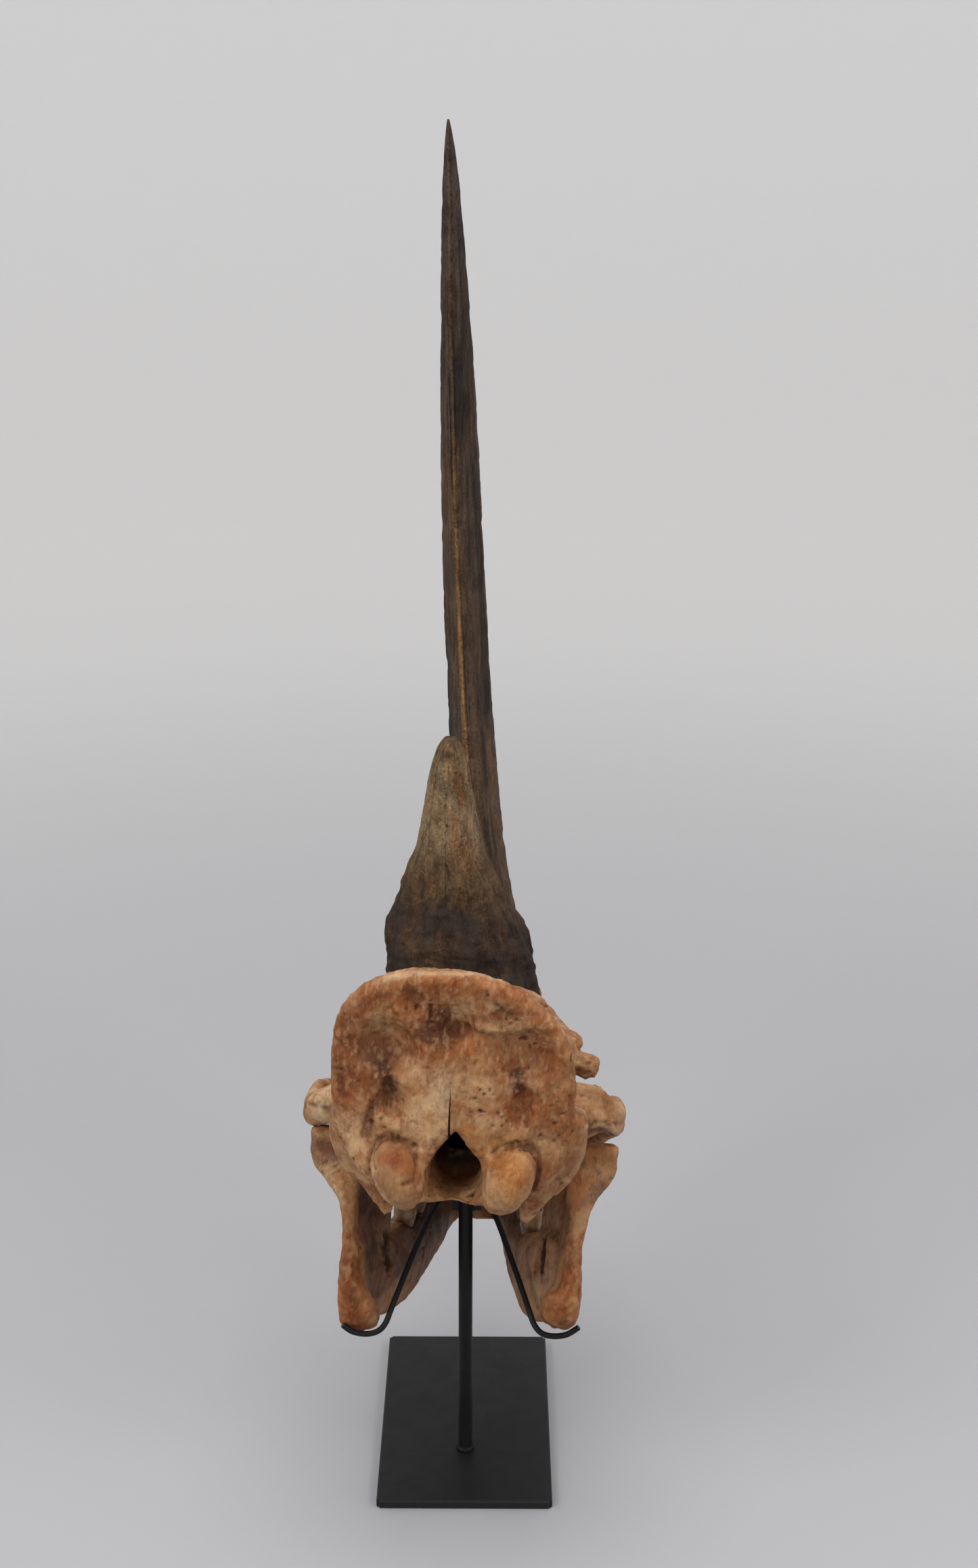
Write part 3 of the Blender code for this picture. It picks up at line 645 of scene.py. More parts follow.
def steel_material():
    """Satin black paint with a fine orange-peel, faint dust, light scratches and rubbed edges."""
    t = Nodes("black_paint")
    coords = t.object_place()
    peel = t.clouds(900.0, coords, 3, 0.5)
    dust = t.clouds(30.0, coords, 6, 0.65, 0.5)
    edge = t.steps(t.new("ShaderNodeNewGeometry").outputs["Pointiness"], 0.54, 0.62, 0.0, 0.5)
    color = t.over((0.0050, 0.0050, 0.0058), (0.0090, 0.0090, 0.0096), dust, 0.45, 0.75, 0.6)
    color = t.mix(edge, color, (0.026, 0.026, 0.027))
    scratches = t.clouds(70.0, t.stretched(coords, (1, 14, 1)), 4, 0.7)
    color = t.over(color, (0.03, 0.03, 0.03), scratches, 0.66, 0.72, 0.22)
    motes = t.both(t.steps(t.cells(260.0, coords), 0.0, 0.055, 0.55, 0.0),
                   t.steps(t.clouds(18.0, coords, 2), 0.52, 0.60))
    color = t.mix(motes, color, (0.10, 0.10, 0.10))
    rough = t.steps(dust, 0.3, 0.75, 0.42, 0.58)
    return t.set(Base_Color=color, Roughness=rough, Specular_IOR_Level=0.22,
                 Normal=t.bump(peel, 0.12, 0.0004))


# Cranium: the same forms as the solid, fused finer, in the skull's frame

JOINT_RISE = {-1: 0, 1: 12}  # how much higher each joint block sits
CONDYLE_MIDDLE, CONDYLE_RADII, CONDYLE_TURN = (57, -12, -1), (24, 27, 37), math.radians(27)
HORN_SEATS = (((0, 306, 138), (104, 96, 46)), ((0, 560, 104), (84, 108, 60)))
TEMPLE_LINE = [(104, 292, 116), (72, 240, 130), (50, 180, 150), (60, 110, 168), (88, 60, 190)]
UPPER_ROOTS = (456, 425, 388, 346, 298, 249)
SKULL_NERVE_HOLES = [(88, 372, 58), (60, 150, 10), (84, 352, 20), (70, 470, 10)]
BROKEN_EDGES = (((130, 282, 64), (26, 24, 28)), ((142, 266, 40), (16, 18, 14)))
ROOF_NARROWING = 0.19
BROW_DRAWN_IN = (9, 0, 9)
ARCH_RISE = 9


def add_occiput(shell):
    middle = 112
    rise = OCCIPITAL_CREST_HEIGHT - middle
    fall = middle + 36
    sides = 88
    flare = ((0, 0.90), (3, 0.95), (7, 0.985), (16, 1.0), (26, 0.97), (40, 0.86), (62, 0.72), (95, 0.60))
    rings = []
    for forward, share in flare:
        ring = []
        for i in range(sides):
            angle = 2 * math.pi * i / sides
            top_power = 1.9 if math.cos(angle) > 0 else 2.7
            u, v = rounded(angle, top_power if math.sin(angle) > 0 else 2.9)
            height = middle + v * (rise if v > 0 else fall)
            lean = max(0.0, height - 30) / 190
            sway = CREST_SWAY * min(1.0, max(0.0, (height - 20) / 60)) * (1 - forward / 95)
            z = 95 + (height - 95) * share
            ring.append((u * OCCIPUT_HALF_BREADTH * share - sway, -6 - 44 * lean ** 1.5 + forward, z))
        rings.append(ring)
    loft(shell, rings)


def add_braincase(shell):
    add_body(shell, [
        (0, 150, -20, 84, 2.4), (60, 160, -34, 80, 2.2), (130, 150, -36, 72, 2.2),
        (200, 138, -20, 60, 2.2), (270, 128, -10, 62, 2.4), (330, 118, -30, 80, 2.6),
    ])
    add_body(shell, [
        (-4, -10, -30, 58, 2.4), (30, -6, -36, 42, 2.4), (90, -14, -42, 30, 2.4),
        (150, -14, -42, 31, 2.4), (222, -8, -36, 28, 2.4),
    ])


def add_roof(shell):
    add_body(shell, [
        (15, 204, 120, 96, 2.6), (70, 182, 90, 66, 2.4), (130, 162, 70, 56, 2.4),
        (190, 147, 60, 58, 2.4), (240, 138, 40, 82, 2.3), (285, 139, 24, 103, 2.2),
        (320, 139, 20, 107, 2.3), (362, 131, 20, 99, 2.4), (412, 118, 34, 84, 2.5),
        (460, 108, 50, 70, 2.4), (520, 104, 56, 70, 2.3), (575, 106, 56, 76, 2.3),
        (625, 94, 38, 66, 2.3), (664, 68, 6, 46, 2.3), (NASAL_TIP_REACH, 34, -24, 26, 2.2),
    ])
    add_ball(shell, (0, 306, 112), (84, 78, 40))
    add_ball(shell, (0, 556, 82), (72, 80, 36))


def add_face(shell):
    add_body(shell, [
        (236, 50, -66, 76, 3.0), (270, 84, -72, 96, 3.2), (320, 100, -73, 101, 3.2),
        (370, 100, -73, 97, 3.2), (420, 98, -72, 84, 3.0), (458, 52, -69, 70, 2.8),
        (495, -4, -65, 53, 2.6), (530, -26, -60, 40, 2.4),
    ])
    for side in (-1, 1):
        add_limb(shell, mirrored([
            (40, 480, -42, 14, 20), (33, 540, -46, 13, 17), (27, 610, -50, 12, 14),
            (20, 676, -54, 13, 13),
        ], side))
    add_body(shell, [
        (400, 100, -50, 12, 3.0), (470, 96, -54, 10, 3.0), (560, 96, -60, 10, 3.0),
        (640, 80, -64, 14, 3.0), (672, 56, -66, 22, 2.6), (688, 26, -60, 19, 2.4),
    ], sides=32)


def add_cheeks(shell):
    for side in (-1, 1):
        reach = ZYGOMATIC_HALF_BREADTH[side]
        rise = JOINT_RISE[side]
        add_limb(shell, mirrored([
            (60, 112, 36, 38, 34), (110, 116, 38, 34, 29),
            (145, 122, 36 + rise / 2, 27, 21 - rise / 3), (reach - 12, 128, 28 + rise, 15, 13),
        ], side), power=2.8)
        add_limb(shell, mirrored([
            (reach - 22, 116, 25 + rise, 14, 13), (reach - 11, 150, 23 + rise / 3, 12, 20 - rise / 3),
            (reach - 10, 200, 22, 11, 23), (reach - 20, 250, 8, 12, 26), (reach - 36, 300, -10, 14, 30),
            (reach - 58, 348, -26, 20, 33), (reach - 84, 388, -35, 24, 30),
        ], side), power=2.6)
        add_ball(shell, (side * 106, 366, 66), (14, 12, 18))
        add_ball(shell, (side * (reach - 32), 266, 30), (9, 15, 13))
    # the spurs behind the eyes, the right one broken lower, and the wedge of bone beside the right joint
    add_ball(shell, (-112, 304, 86), (19, 22, 13))
    add_limb(shell, [(-96, 286, 92, 17, 15), (-114, 284, 82, 12, 10), (-128, 282, 72, 8, 8),
                     (-140, 280, 64, 9, 9)], up=(0, 1, 0))
    add_ball(shell, (103, 300, 84), (18, 22, 13))
    add_limb(shell, [(88, 288, 74, 14, 15), (106, 284, 62, 12, 12), (124, 282, 59, 15, 12),
                     (141, 280, 62, 13, 11)], up=(0, 1, 0))
    add_limb(shell, [(112, 122, 52, 16, 25), (132, 126, 52, 12, 23), (150, 128, 47, 11, 19),
                     (164, 130, 38, 9, 12)])


def add_skull_base(shell):
    for side in (-1, 1):
        add_ball(shell, mirrored([CONDYLE_MIDDLE], side)[0], CONDYLE_RADII, side * CONDYLE_TURN)
        add_limb(shell, mirrored([
            (106, 22, 66, 27, 24), (110, 30, 30, 25, 22), (101, 42, -6, 19, 17),
            (92, 50, -22, 10, 10),
        ], side), up=(0, 1, 0))
        add_limb(shell, mirrored([
            (80, 26, 8, 24, 20), (84, 40, -20, 18, 15), (78, 50, -44, 12, 11),
            (72, 56, -62, 6, 7),
        ], side), up=(0, 1, 0))
        add_limb(shell, mirrored([
            (104, 96, 16, 20, 16), (101, 100, -16, 17, 12), (97, 106, -46, 9, 8),
        ], side), up=(0, 1, 0))
        add_limb(shell, mirrored([
            (34, 262, -46, 8, 16), (36, 232, -54, 7, 17), (37, 208, -66, 6, 11),
        ], side))


def add_great_hole(shell):
    outline = [
        (0, 1.0), (0.16, 0.86), (0.48, 0.56), (0.82, 0.22), (1.0, -0.14), (0.96, -0.48),
        (0.66, -0.84), (0, -1.0),
    ]
    right = through(outline, 4)
    whole = right + [(-x, z) for x, z in reversed(right[1:-1])]
    rings = []
    for y, top, bottom, half_width in ((-70, 58, -58, 36), (-24, 53, -46, 32), (-8, 51, -40, 30),
                                       (14, 46, -29, 28), (40, 42, -23, 26), (70, 40, -20, 24)):
        middle, half_height = (top + bottom) / 2, (top - bottom) / 2
        rings.append([(x * half_width, y, middle + z * half_height) for x, z in whole])
    loft(shell, rings)


def skull_hollows():
    shell = bmesh.new()
    add_great_hole(shell)
    add_ball(shell, (0, 98, 52), (46, 74, 46))
    add_ball(shell, (0, 246, -56), (22, 52, 24))
    add_ball(shell, (0, 352, -86), (43, 130, 40))
    for side in (-1, 1):
        add_ball(shell, (side * 122, 334, 48), (52, 33, 28))
        add_ball(shell, (side * 92, 430, 4), (15, 13, 9))
        add_ball(shell, (side * 38, 492, 22), (27, 74, 34))
        add_ball(shell, (side * 72, -86, 130), (60, 76, 50))
        add_ball(shell, (side * 66, -58, 74), (26, 56, 36))
        add_ball(shell, (side * 128, 62, 12), (26, 14, 13))
    add_ball(shell, (0, -98, 156), (40, 78, 42))
    cutter = object_from(shell, "skull_hollows")
    fused(cutter, BONE_VOXEL, 0)
    return cutter


# Relief of the nape, by the photograph's pixels: line, width and height in millimetres, raggedness
NAPE_HOLLOWS = (
    ([(640, 1500), (650, 1518), (656, 1536)], 15, -4.2, 0.35),
    ([(520, 1548), (545, 1540), (575, 1545)], 20, -3.5, 0.35),
    ([(775, 1560), (795, 1585), (802, 1620)], 17, -3.2, 0.35),
    ([(763, 1588), (766, 1606)], 6, -4.2, 0.2),
    ([(567, 1574), (571, 1590), (576, 1606)], 6, -4.0, 0.2),
    ([(551, 1634), (544, 1662)], 5.5, -3.0, 0.35),
    ([(749, 1496)], 5.5, -3.6, 0.2),
    ([(502, 1598), (506, 1616)], 5, -2.6, 0.35),
    ([(596, 1465), (610, 1472)], 8, -1.8, 0.35),
)
NAPE_RIDGES = (
    ([(680, 1503), (708, 1516), (740, 1521), (789, 1513), (815, 1517)], 5, 3.2, 0.15),
    ([(690, 1520), (716, 1534), (748, 1538), (786, 1532)], 7, -2.2, 0.2),
    ([(502, 1527), (534, 1520), (583, 1529), (606, 1545)], 6, 2.2, 0.15),
    ([(596, 1500), (614, 1530), (622, 1556), (618, 1590)], 9, 2.2, 0.35),
    ([(676, 1545), (692, 1580), (722, 1612), (745, 1645)], 12, 2.2, 0.35),
    ([(500, 1505), (520, 1484), (550, 1466), (600, 1455), (662, 1449), (720, 1455), (768, 1475),
     (805, 1508)], 7, 1.6, 0.35),
    ([(505, 1622), (530, 1636), (560, 1652), (590, 1664)], 8, 2.2, 0.35),
    ([(806, 1636), (786, 1664), (764, 1682)], 7, 2.0, 0.35),
)
WALL_EDGES = (
    ([(500, 1587)], 9, -5, 0.2),
    ([(497, 1562)], 9, 2.5, 0.2),
    ([(500, 1618)], 9, 2.2, 0.2),
    ([(846, 1590)], 9, -3.5, 0.2),
    ([(842, 1560)], 8, 2.0, 0.2),
    ([(655, 1600), (650, 1640), (642, 1668), (628, 1704)], 7, 2.2, 0.35),
    ([(675, 1600), (680, 1640), (692, 1672), (712, 1704)], 7, 2.2, 0.35),
)
# Colours of the nape, condyles and joint blocks: line by pixels, width in millimetres, colour, share
NAPE_FIELDS = (
    ([(545, 1468), (600, 1456), (665, 1452), (730, 1458), (790, 1485), (822, 1520)], 17, ORANGE, 0.85),
    ([(510, 1500), (502, 1540), (505, 1580)], 15, RUST, 0.6),
    ([(700, 1545), (750, 1552), (810, 1560), (826, 1600)], 22, ORANGE, 0.55),
    ([(730, 1640), (780, 1640), (822, 1640)], 22, ORANGE, 0.60),
    ([(520, 1570), (560, 1590), (590, 1600)], 18, RUST, 0.45),
    ([(600, 1490), (640, 1545), (690, 1540)], 21, ORANGE, 0.9),
    ([(650, 1470), (640, 1500), (618, 1530)], 17, RUST, 0.75),
    ([(508, 1640), (500, 1612)], 12, ORANGE, 0.7),
    ([(608, 1606), (616, 1636), (630, 1660)], 26, CREAM, 0.9),
    ([(646, 1600), (650, 1636)], 12, PALE, 0.6),
    ([(702, 1596), (712, 1630), (722, 1652)], 15, CREAM, 0.75),
    ([(515, 1668), (530, 1700), (548, 1730)], 20, CREAM, 0.9),
    ([(560, 1660), (590, 1672)], 12, CREAM, 0.7),
    ([(690, 1668), (702, 1690)], 10, OCHRE, 0.6),
    ([(765, 1680), (800, 1700), (826, 1690)], 14, TAN, 0.7),
    ([(500, 1462), (530, 1450)], 8, PLUM, 0.6),
    ([(492, 1510), (500, 1492)], 6, PLUM, 0.7),
)
# Stains of the nape, and painted shade: near-black and dark brown lines laid into the narrow grooves and pits
# carved above
NAPE_STAINS_AND_SHADE = (
    ([(655, 1500), (648, 1512)], 12, UMBER, 0.95),
    ([(630, 1524), (655, 1532), (668, 1520)], 14, UMBER, 0.8),
    ([(606, 1462), (612, 1474)], 9, UMBER, 0.60),
    ([(690, 1447)], 6, UMBER, 0.45),
    ([(748, 1496), (738, 1490)], 8, UMBER, 0.9),
    ([(700, 1506), (730, 1502), (770, 1494), (800, 1506)], 6, RUST, 0.6),
    ([(516, 1550), (545, 1544), (566, 1552)], 21, RUST, 0.70),
    ([(540, 1552), (558, 1562)], 14, UMBER, 0.45),
    ([(506, 1566), (520, 1590), (545, 1606)], 12, RUST, 0.6),
    ([(560, 1470), (534, 1486), (516, 1504)], 9, RUST, 0.6),
    ([(566, 1574), (571, 1590), (575, 1608)], 6.5, NEAR_BLACK, 0.75),
    ([(560, 1566), (566, 1600), (572, 1622)], 13, UMBER, 0.55),
    ([(552, 1630), (545, 1650), (541, 1672)], 6.5, UMBER, 0.75),
    ([(502, 1596), (506, 1616)], 5, UMBER, 0.7),
    ([(760, 1580), (768, 1612)], 13, RUST, 0.8),
    ([(764, 1586), (766, 1608)], 8, UMBER, 1.0),
    ([(777, 1654)], 5, UMBER, 0.6),
    ([(800, 1590), (812, 1630)], 14, RUST, 0.45),
    ([(768, 1640), (800, 1652), (826, 1662)], 19, RUST, 0.50),
    ([(690, 1512), (716, 1526), (748, 1530), (790, 1524)], 4, UMBER, 0.4),
    ([(570, 1708), (586, 1706), (596, 1722)], 13, ORANGE, 0.95),
    ([(584, 1700), (578, 1722)], 7, RUST, 0.5),
    ([(572, 1742), (590, 1758), (604, 1776)], 15, TAN, 0.95),
    ([(738, 1706), (758, 1712), (752, 1748)], 21, OCHRE, 0.95),
    ([(735, 1752), (742, 1775)], 10, CREAM, 0.45),
    ([(548, 1740), (560, 1770), (568, 1786)], 11, RUST, 0.6),
    ([(800, 1724), (792, 1756), (778, 1785)], 12, RUST, 0.6),
    ([(624, 1775), (640, 1768)], 8, TAN, 0.7),
    ([(706, 1770), (716, 1784)], 8, TAN, 0.7),
    ([(470, 1612), (462, 1640)], 22, PALE, 0.85),
    ([(456, 1655), (474, 1662)], 8, RUST, 0.5),
    ([(880, 1612), (896, 1645)], 22, TAN, 0.9),
)


def sculpt_nape(clay):
    """Relief and colour of the back of the skull, with painted shade and painted highlights, placed by the
    photograph.
    """
    for marks in (NAPE_HOLLOWS, NAPE_RIDGES, WALL_EDGES):
        clay.carve(marks)
    clay.dye(NAPE_FIELDS)
    # painted highlight: a pale line along the top edge of the crest, where the light catches it
    clay.pixels(CREST_RIM_HIGHLIGHT, 4.5, 0.6, PALE, amount=0.55)
    clay.dye(NAPE_STAINS_AND_SHADE)
    # painted shadow under the right joint block, and a painted highlight on the rim above it
    clay.pixels(JOINT_SHADOW_LINE, 6, -3.5, PLUM, amount=0.95, rag=0.15)
    clay.pixels(JOINT_RIM_HIGHLIGHT, 3, 1.5, PALE, amount=0.7, rag=0.15)


def hump(off, width):
    """1 where off is 0, and falling smoothly to both sides."""
    return np.exp(-(off / width) ** 2)


def sculpt_condyles(clay):
    """Polished joint faces with a crease round each, painted shade in the crease and a painted highlight on
    the lip within it, and the inside of the braincase painted near black as shade.
    """
    p = clay.p
    polish = np.zeros(len(p))
    half_width, half_height = CONDYLE_RADII[0], CONDYLE_RADII[2]
    for side in (-1, 1):
        q = p - mirrored([CONDYLE_MIDDLE], side)[0]
        c, s = math.cos(side * CONDYLE_TURN), math.sin(side * CONDYLE_TURN)
        q = np.stack([q[:, 0] * c - q[:, 2] * s, q[:, 1], q[:, 0] * s + q[:, 2] * c], axis=1)
        flat = np.linalg.norm(q[:, (0, 2)] / (half_width, half_height), axis=1)
        behind = smoothstep(24, 4, p[:, 1])
        outer = smoothstep(-0.5, 0.4, (q[:, 0] * side * 0.6 + q[:, 2] * 0.5) / half_width)
        crease = hump(flat - 1.14 - 0.03 * clay.rag, 0.09) * behind * outer
        # painted shade: the crease is pressed in and darkened with umber
        clay.push(-3.4 * crease)
        clay.paint(UMBER, 0.42 * crease)
        # painted highlight: the lip inside the crease is raised and painted cream on its outer side
        lip = hump(flat - 0.92, 0.10) * behind
        clay.push(1.4 * lip)
        clay.paint(CREAM, 0.25 * lip * outer)
        polish = np.maximum(polish, smoothstep(1.05, 0.85, flat) * behind)
    clay.masks["polish"] = polish
    # painted shade: the inside of the braincase, seen through the great hole, painted near black
    clay.paint(NEAR_BLACK, smoothstep(1.1, 0.85, np.linalg.norm((p - (0, 96, 40)) / (52, 90, 56), axis=1)))
    clay.refresh()
    # the facets' own outlines: a creased arch over each, and a straight inner edge on both, with painted
    # shade in the creases and grooves and painted highlights on the raised inner lips
    for arch in (LEFT_FACET, RIGHT_FACET):
        clay.pixels(arch, 2.8, -2.2, UMBER, amount=0.40, rag=0.15)
    clay.pixels(LEFT_INNER_EDGE, 2.6, -2.2, RUST, amount=0.6, rag=0.1)
    clay.pixels(LEFT_INNER_LIP, 4.5, 2.0, CREAM, amount=0.4, rag=0.1)
    clay.pixels(RIGHT_INNER_LIP, 3.5, 2.2, CREAM, amount=0.4, rag=0.1)
    clay.refresh()
    clay.pixels(HOLE_FLOOR, 15, color=TAN, amount=0.95)
    clay.pixels(HOLE_LIP, 9, color=CREAM, amount=0.5)


def sculpt_bosses(clay):
    """Warty seats under the horns."""
    seat = 0
    for centre, radii in HORN_SEATS:
        seat = np.maximum(seat, smoothstep(1.2, 0.75, np.linalg.norm((clay.p - centre) / radii, axis=1)))
    warty = np.abs(noise(clay.p, 8.5, 31)) + 0.5 * np.abs(noise(clay.p, 4.4, 32))
    clay.push(seat * (2.4 * (1 - warty) - 1.6))
    clay.paint(RUST, 0.6 * seat)
    clay.paint(UMBER, 0.6 * seat * np.clip(warty, 0, 1))


def sculpt_sutures(clay, p):
    """Wandering seams between the bones of the roof, the cheek, the temple and the arches."""
    x, y, z = p.T
    out = np.abs(x)
    wander = 4.0 * noise(p, 16, 41) + 2.0 * noise(p, 6, 42)
    top = smoothstep(60, 90, z)
    cheek = smoothstep(48, 66, out) * (1 - smoothstep(120, 132, out)) * smoothstep(-50, -20, z)
    temple = smoothstep(40, 60, y) * (1 - smoothstep(250, 275, y)) * smoothstep(40, 56, out)
    seams = [
        hump(x + 0.5 * wander, 1.5) * top * smoothstep(350, 385, y),
        hump(y - 212 + 0.25 * out + wander, 1.7) * top,
        hump(y - 404 - 0.55 * (z - 60) + wander, 1.6) * cheek,
        hump(z - 34 + 0.20 * (y - 120) + wander, 1.6) * temple,
    ]
    for side, reach in ZYGOMATIC_HALF_BREADTH.items():
        seams.append(hump(y - 236 - 1.6 * (z - 12) + wander, 1.6)
                     * smoothstep(reach - 44, reach - 34, side * x))
    suture = np.max(seams, axis=0)
    clay.push(-1.6 * suture)
    clay.paint(UMBER, 0.65 * suture)
    clay.refresh()


def sculpt_sides(clay):
    """Muscle lines, stains, the rough lower edge of each arch, root bulges, and nerve holes painted near
    black as shade.
    """
    for side in (-1, 1):
        reach = ZYGOMATIC_HALF_BREADTH[side]
        clay.stroke(mirrored(TEMPLE_LINE, side), 5, 2.6, CREAM, 0.4)
        clay.stroke(mirrored([(100, 24, 40), (82, 60, 30), (74, 100, 44), (66, 150, 40)], side), 6, 1.6)
        clay.stroke(mirrored([(84, 210, 100), (66, 160, 110), (70, 110, 120)], side), 26, 0, RUST, 0.5)
        clay.stroke(mirrored([(90, 330, 40), (70, 240, 20), (60, 180, 20)], side), 24, 0, UMBER, 0.45)
        low = mirrored([(reach - 14, 200, -2), (reach - 24, 260, -22), (reach - 44, 320, -42),
                        (reach - 70, 366, -62)], side)
        rough = hump(clay.along(low)[0], 14)
        clay.push(rough * (1.8 * noise(clay.p, 7, 51) + 1.0 * noise(clay.p, 4, 52)))
        clay.paint(ORANGE, 0.55 * rough)
        high = [(reach - 8, 160, 30), (reach - 8, 220, 26), (reach - 20, 280, 6)]
        clay.stroke(mirrored(high, side), 11, 0, PALE, 0.7)
        clay.stroke(mirrored([(96, 420, 40), (92, 380, 20), (98, 330, -20)], side), 22, 0, CREAM, 0.6)
        clay.stroke(mirrored([(60, 440, -40), (48, 500, -46), (34, 600, -50)], side), 14, 0, OCHRE, 0.5)
        for i, at in enumerate(UPPER_ROOTS):
            out = side * (64 + 6 * i)
            clay.stroke([(side * (66 + 6 * i), at, -72), (out, at + 2, -48)], 9, 2.4, TAN, 0.4)
            clay.stroke([(out, at - 20, -72), (side * (62 + 6 * i), at - 20, -56)], 7, -1.2, RUST, 0.5)
        # painted shade: each nerve hole is a shallow dent painted near black
        for hole in mirrored(SKULL_NERVE_HOLES, side):
            clay.stroke([clay.nearest(hole)], 3.6, -4.5, NEAR_BLACK, 1.0, rag=0.1)
    clay.refresh()


def shape_cranium(clay):
    """The slow forms: swells, the narrow nasal roof, the right brow, and the arched lower edge behind."""
    p = clay.p
    x, y, z = p.T
    clay.push(1.0 * fractal(p, 46, 3, 5))
    roof = smoothstep(470, 530, y) * (1 - smoothstep(610, 660, y)) * smoothstep(10, 60, z)
    brow = smoothstep(200, 250, y) * (1 - smoothstep(350, 390, y))
    brow = brow * smoothstep(50, 92, x) * smoothstep(88, 112, z)
    arch = smoothstep(-28, -38, z) * smoothstep(30, 8, y) * hump(x + 1, 17)
    clay.p = clay.p * (1 - ROOF_NARROWING * roof[:, None] * (1, 0, 0))
    clay.p = clay.p - brow[:, None] * BROW_DRAWN_IN
    clay.p = clay.p + arch[:, None] * (0, 0, ARCH_RISE)
    clay.refresh()
    corner = clay.hit_pixel(*RIGHT_BLOCK_CORNER)
    if corner is not None:
        clay.p = clay.p - hump(np.linalg.norm(clay.p - corner, axis=1), 17)[:, None] * (5, 0, 9)
        clay.refresh()


def sculpt_nose_and_spurs(clay):
    p = clay.p
    x, y = p[:, 0], p[:, 1]
    nose = smoothstep(420, 450, y) * (1 - smoothstep(600, 640, y)) * (1 - smoothstep(26, 44, np.abs(x)))
    clay.push(1.0 * nose * noise(p, 18, 61))
    front = smoothstep(630, 664, y)
    clay.push(front * (1.4 * noise(p, 9, 62) + 1.0 * noise(p, 5, 63)))
    for centre, radii in BROKEN_EDGES:
        far = np.linalg.norm((np.abs(p) * (1, 1, 0) + p * (0, 0, 1) - centre) / radii, axis=1)
        ragged = smoothstep(1.3, 0.7, far)
        clay.push(ragged * (2.6 * noise(p, 9, 71) + 1.8 * noise(p, 5, 72) - 0.6))
        clay.paint(RUST, 0.5 * ragged)
    clay.refresh()


def sculpt_grain(clay):
    """Grain, pores and pits everywhere, and fine flakes on the nape."""
    p = clay.p
    bare = 1 - clay.masks["polish"]
    back = smoothstep(24, -6, p[:, 1]) * (1 - 0.75 * clay.masks["polish"])
    fibre = noise(p, (3.6, 9, 14), 81) * back + noise(p, (5, 12, 5), 82) * (1 - back)
    clay.push(0.50 * fibre + 0.36 * fractal(p, 9, 2, 83))
    clay.push(0.8 * back * np.clip(fractal(p, (7, 9, 9), 3, 86), -1, 1))
    arches = smoothstep(118, 134, np.abs(p[:, 0]))
    clay.pit(p, (4.8, 84), (26, 85), 0.40, bare * (1 - 0.8 * arches), 6.0, 2.4)
    flakes = fractal(p, (3.6, 9, 8), 3, 87) * bare
    clay.paint(CREAM, 0.40 * smoothstep(0.10, 0.70, flakes) * back)
    clay.paint(RUST, 0.30 * smoothstep(0.25, 0.85, -flakes) * back)


def sculpt_cranium(clay):
    clay.cloud(((CREAM, 0.75, -0.15, 0.55, 52, 4, 11), (ORANGE, 0.65, 0.05, 0.70, 44, 4, 12),
                (RUST, 0.55, 0.25, 0.85, 24, 4, 13), (UMBER, 0.35, 0.35, 0.95, 16, 3, 14)), clay.p @ ASKEW)
    shape_cranium(clay)
    sculpt_nape(clay)
    clay.refresh()
    sculpt_condyles(clay)
    clay.refresh()
    before = clay.p
    sculpt_bosses(clay)
    sculpt_sutures(clay, before)
    sculpt_sides(clay)
    sculpt_nose_and_spurs(clay)
    sculpt_grain(clay)
    # darker in the hollows and paler on raised edges, by how far each point lies below or above the smoothed
    # surface
    deep, fine = clay.hollows(14), clay.hollows(2)
    clay.paint(UMBER, 0.55 * smoothstep(0.35, 2.4, deep))
    clay.paint(UMBER, 0.50 * smoothstep(0.10, 0.55, fine))
    clay.paint(CREAM, 0.35 * smoothstep(0.4, 2.2, -deep) + 0.25 * smoothstep(0.10, 0.5, -fine))


def make_finer(obj, inside):
    """Splits the faces of a region in four."""
    builder = bmesh.new()
    builder.from_mesh(obj.data)
    edges = [e for e in builder.edges if all(inside(v.co / MM) for v in e.verts)]
    bmesh.ops.subdivide_edges(builder, edges=edges, cuts=1, use_grid_fill=True)
    builder.to_mesh(obj.data)
    builder.free()


def make_cranium(material):
    shell = bmesh.new()
    for add in (add_occiput, add_braincase, add_roof, add_face, add_cheeks, add_skull_base):
        add(shell)
    obj = object_from(shell, "cranium_bone")
    fused(obj, BONE_VOXEL, 0)
    cut(obj, skull_hollows())
    fused(obj, BONE_VOXEL, 7)
    make_finer(obj, lambda q: q.y < 14 + 0.10 * max(q.z, 0) and q.z > -80)
    clay = Clay(obj, SKULL, TAN)
    clay.p = clay.relaxed(clay.p, 2)
    clay.refresh()
    sculpt_cranium(clay)
    return clay.finish("cranium_bone", material, ["cranium"])


# Lower jaw, in its own frame

ANGLE_LIFT = {-1: 6, 1: 24}
RAMUS_OUT = {-1: 0, 1: 9}
SLANT_PLATE = ((-158, 8, 42), (-120, 7, 44), (-84, 7, 42), (-58, 6, 32))  # height, half thickness, half depth
MUSCLE_LINE_ENDS = ((84, 150, -120), (82, 160, -150), (84, 150, -180))
JAW_NERVE_HOLES = [(72, 424, -148), (64, 448, -146)]
LOWER_ROOTS = (450, 422, 390, 353, 310, 264)
# The inner face of each branch: its ground, its dark stain, and the shares of stain and pale streaks
INNER_FACE = {-1: ((0.135, 0.074, 0.052), NEAR_BLACK, 0.5, 0.15), 1: ((0.33, 0.195, 0.115), UMBER, 0.3, 0.3)}
JOINT_REGION = (-40, 160)  # above this height and behind this place, in millimetres
NEAR_THE_JOINT = 0.02  # metres
JOINT_GAP = 0.6 * MM


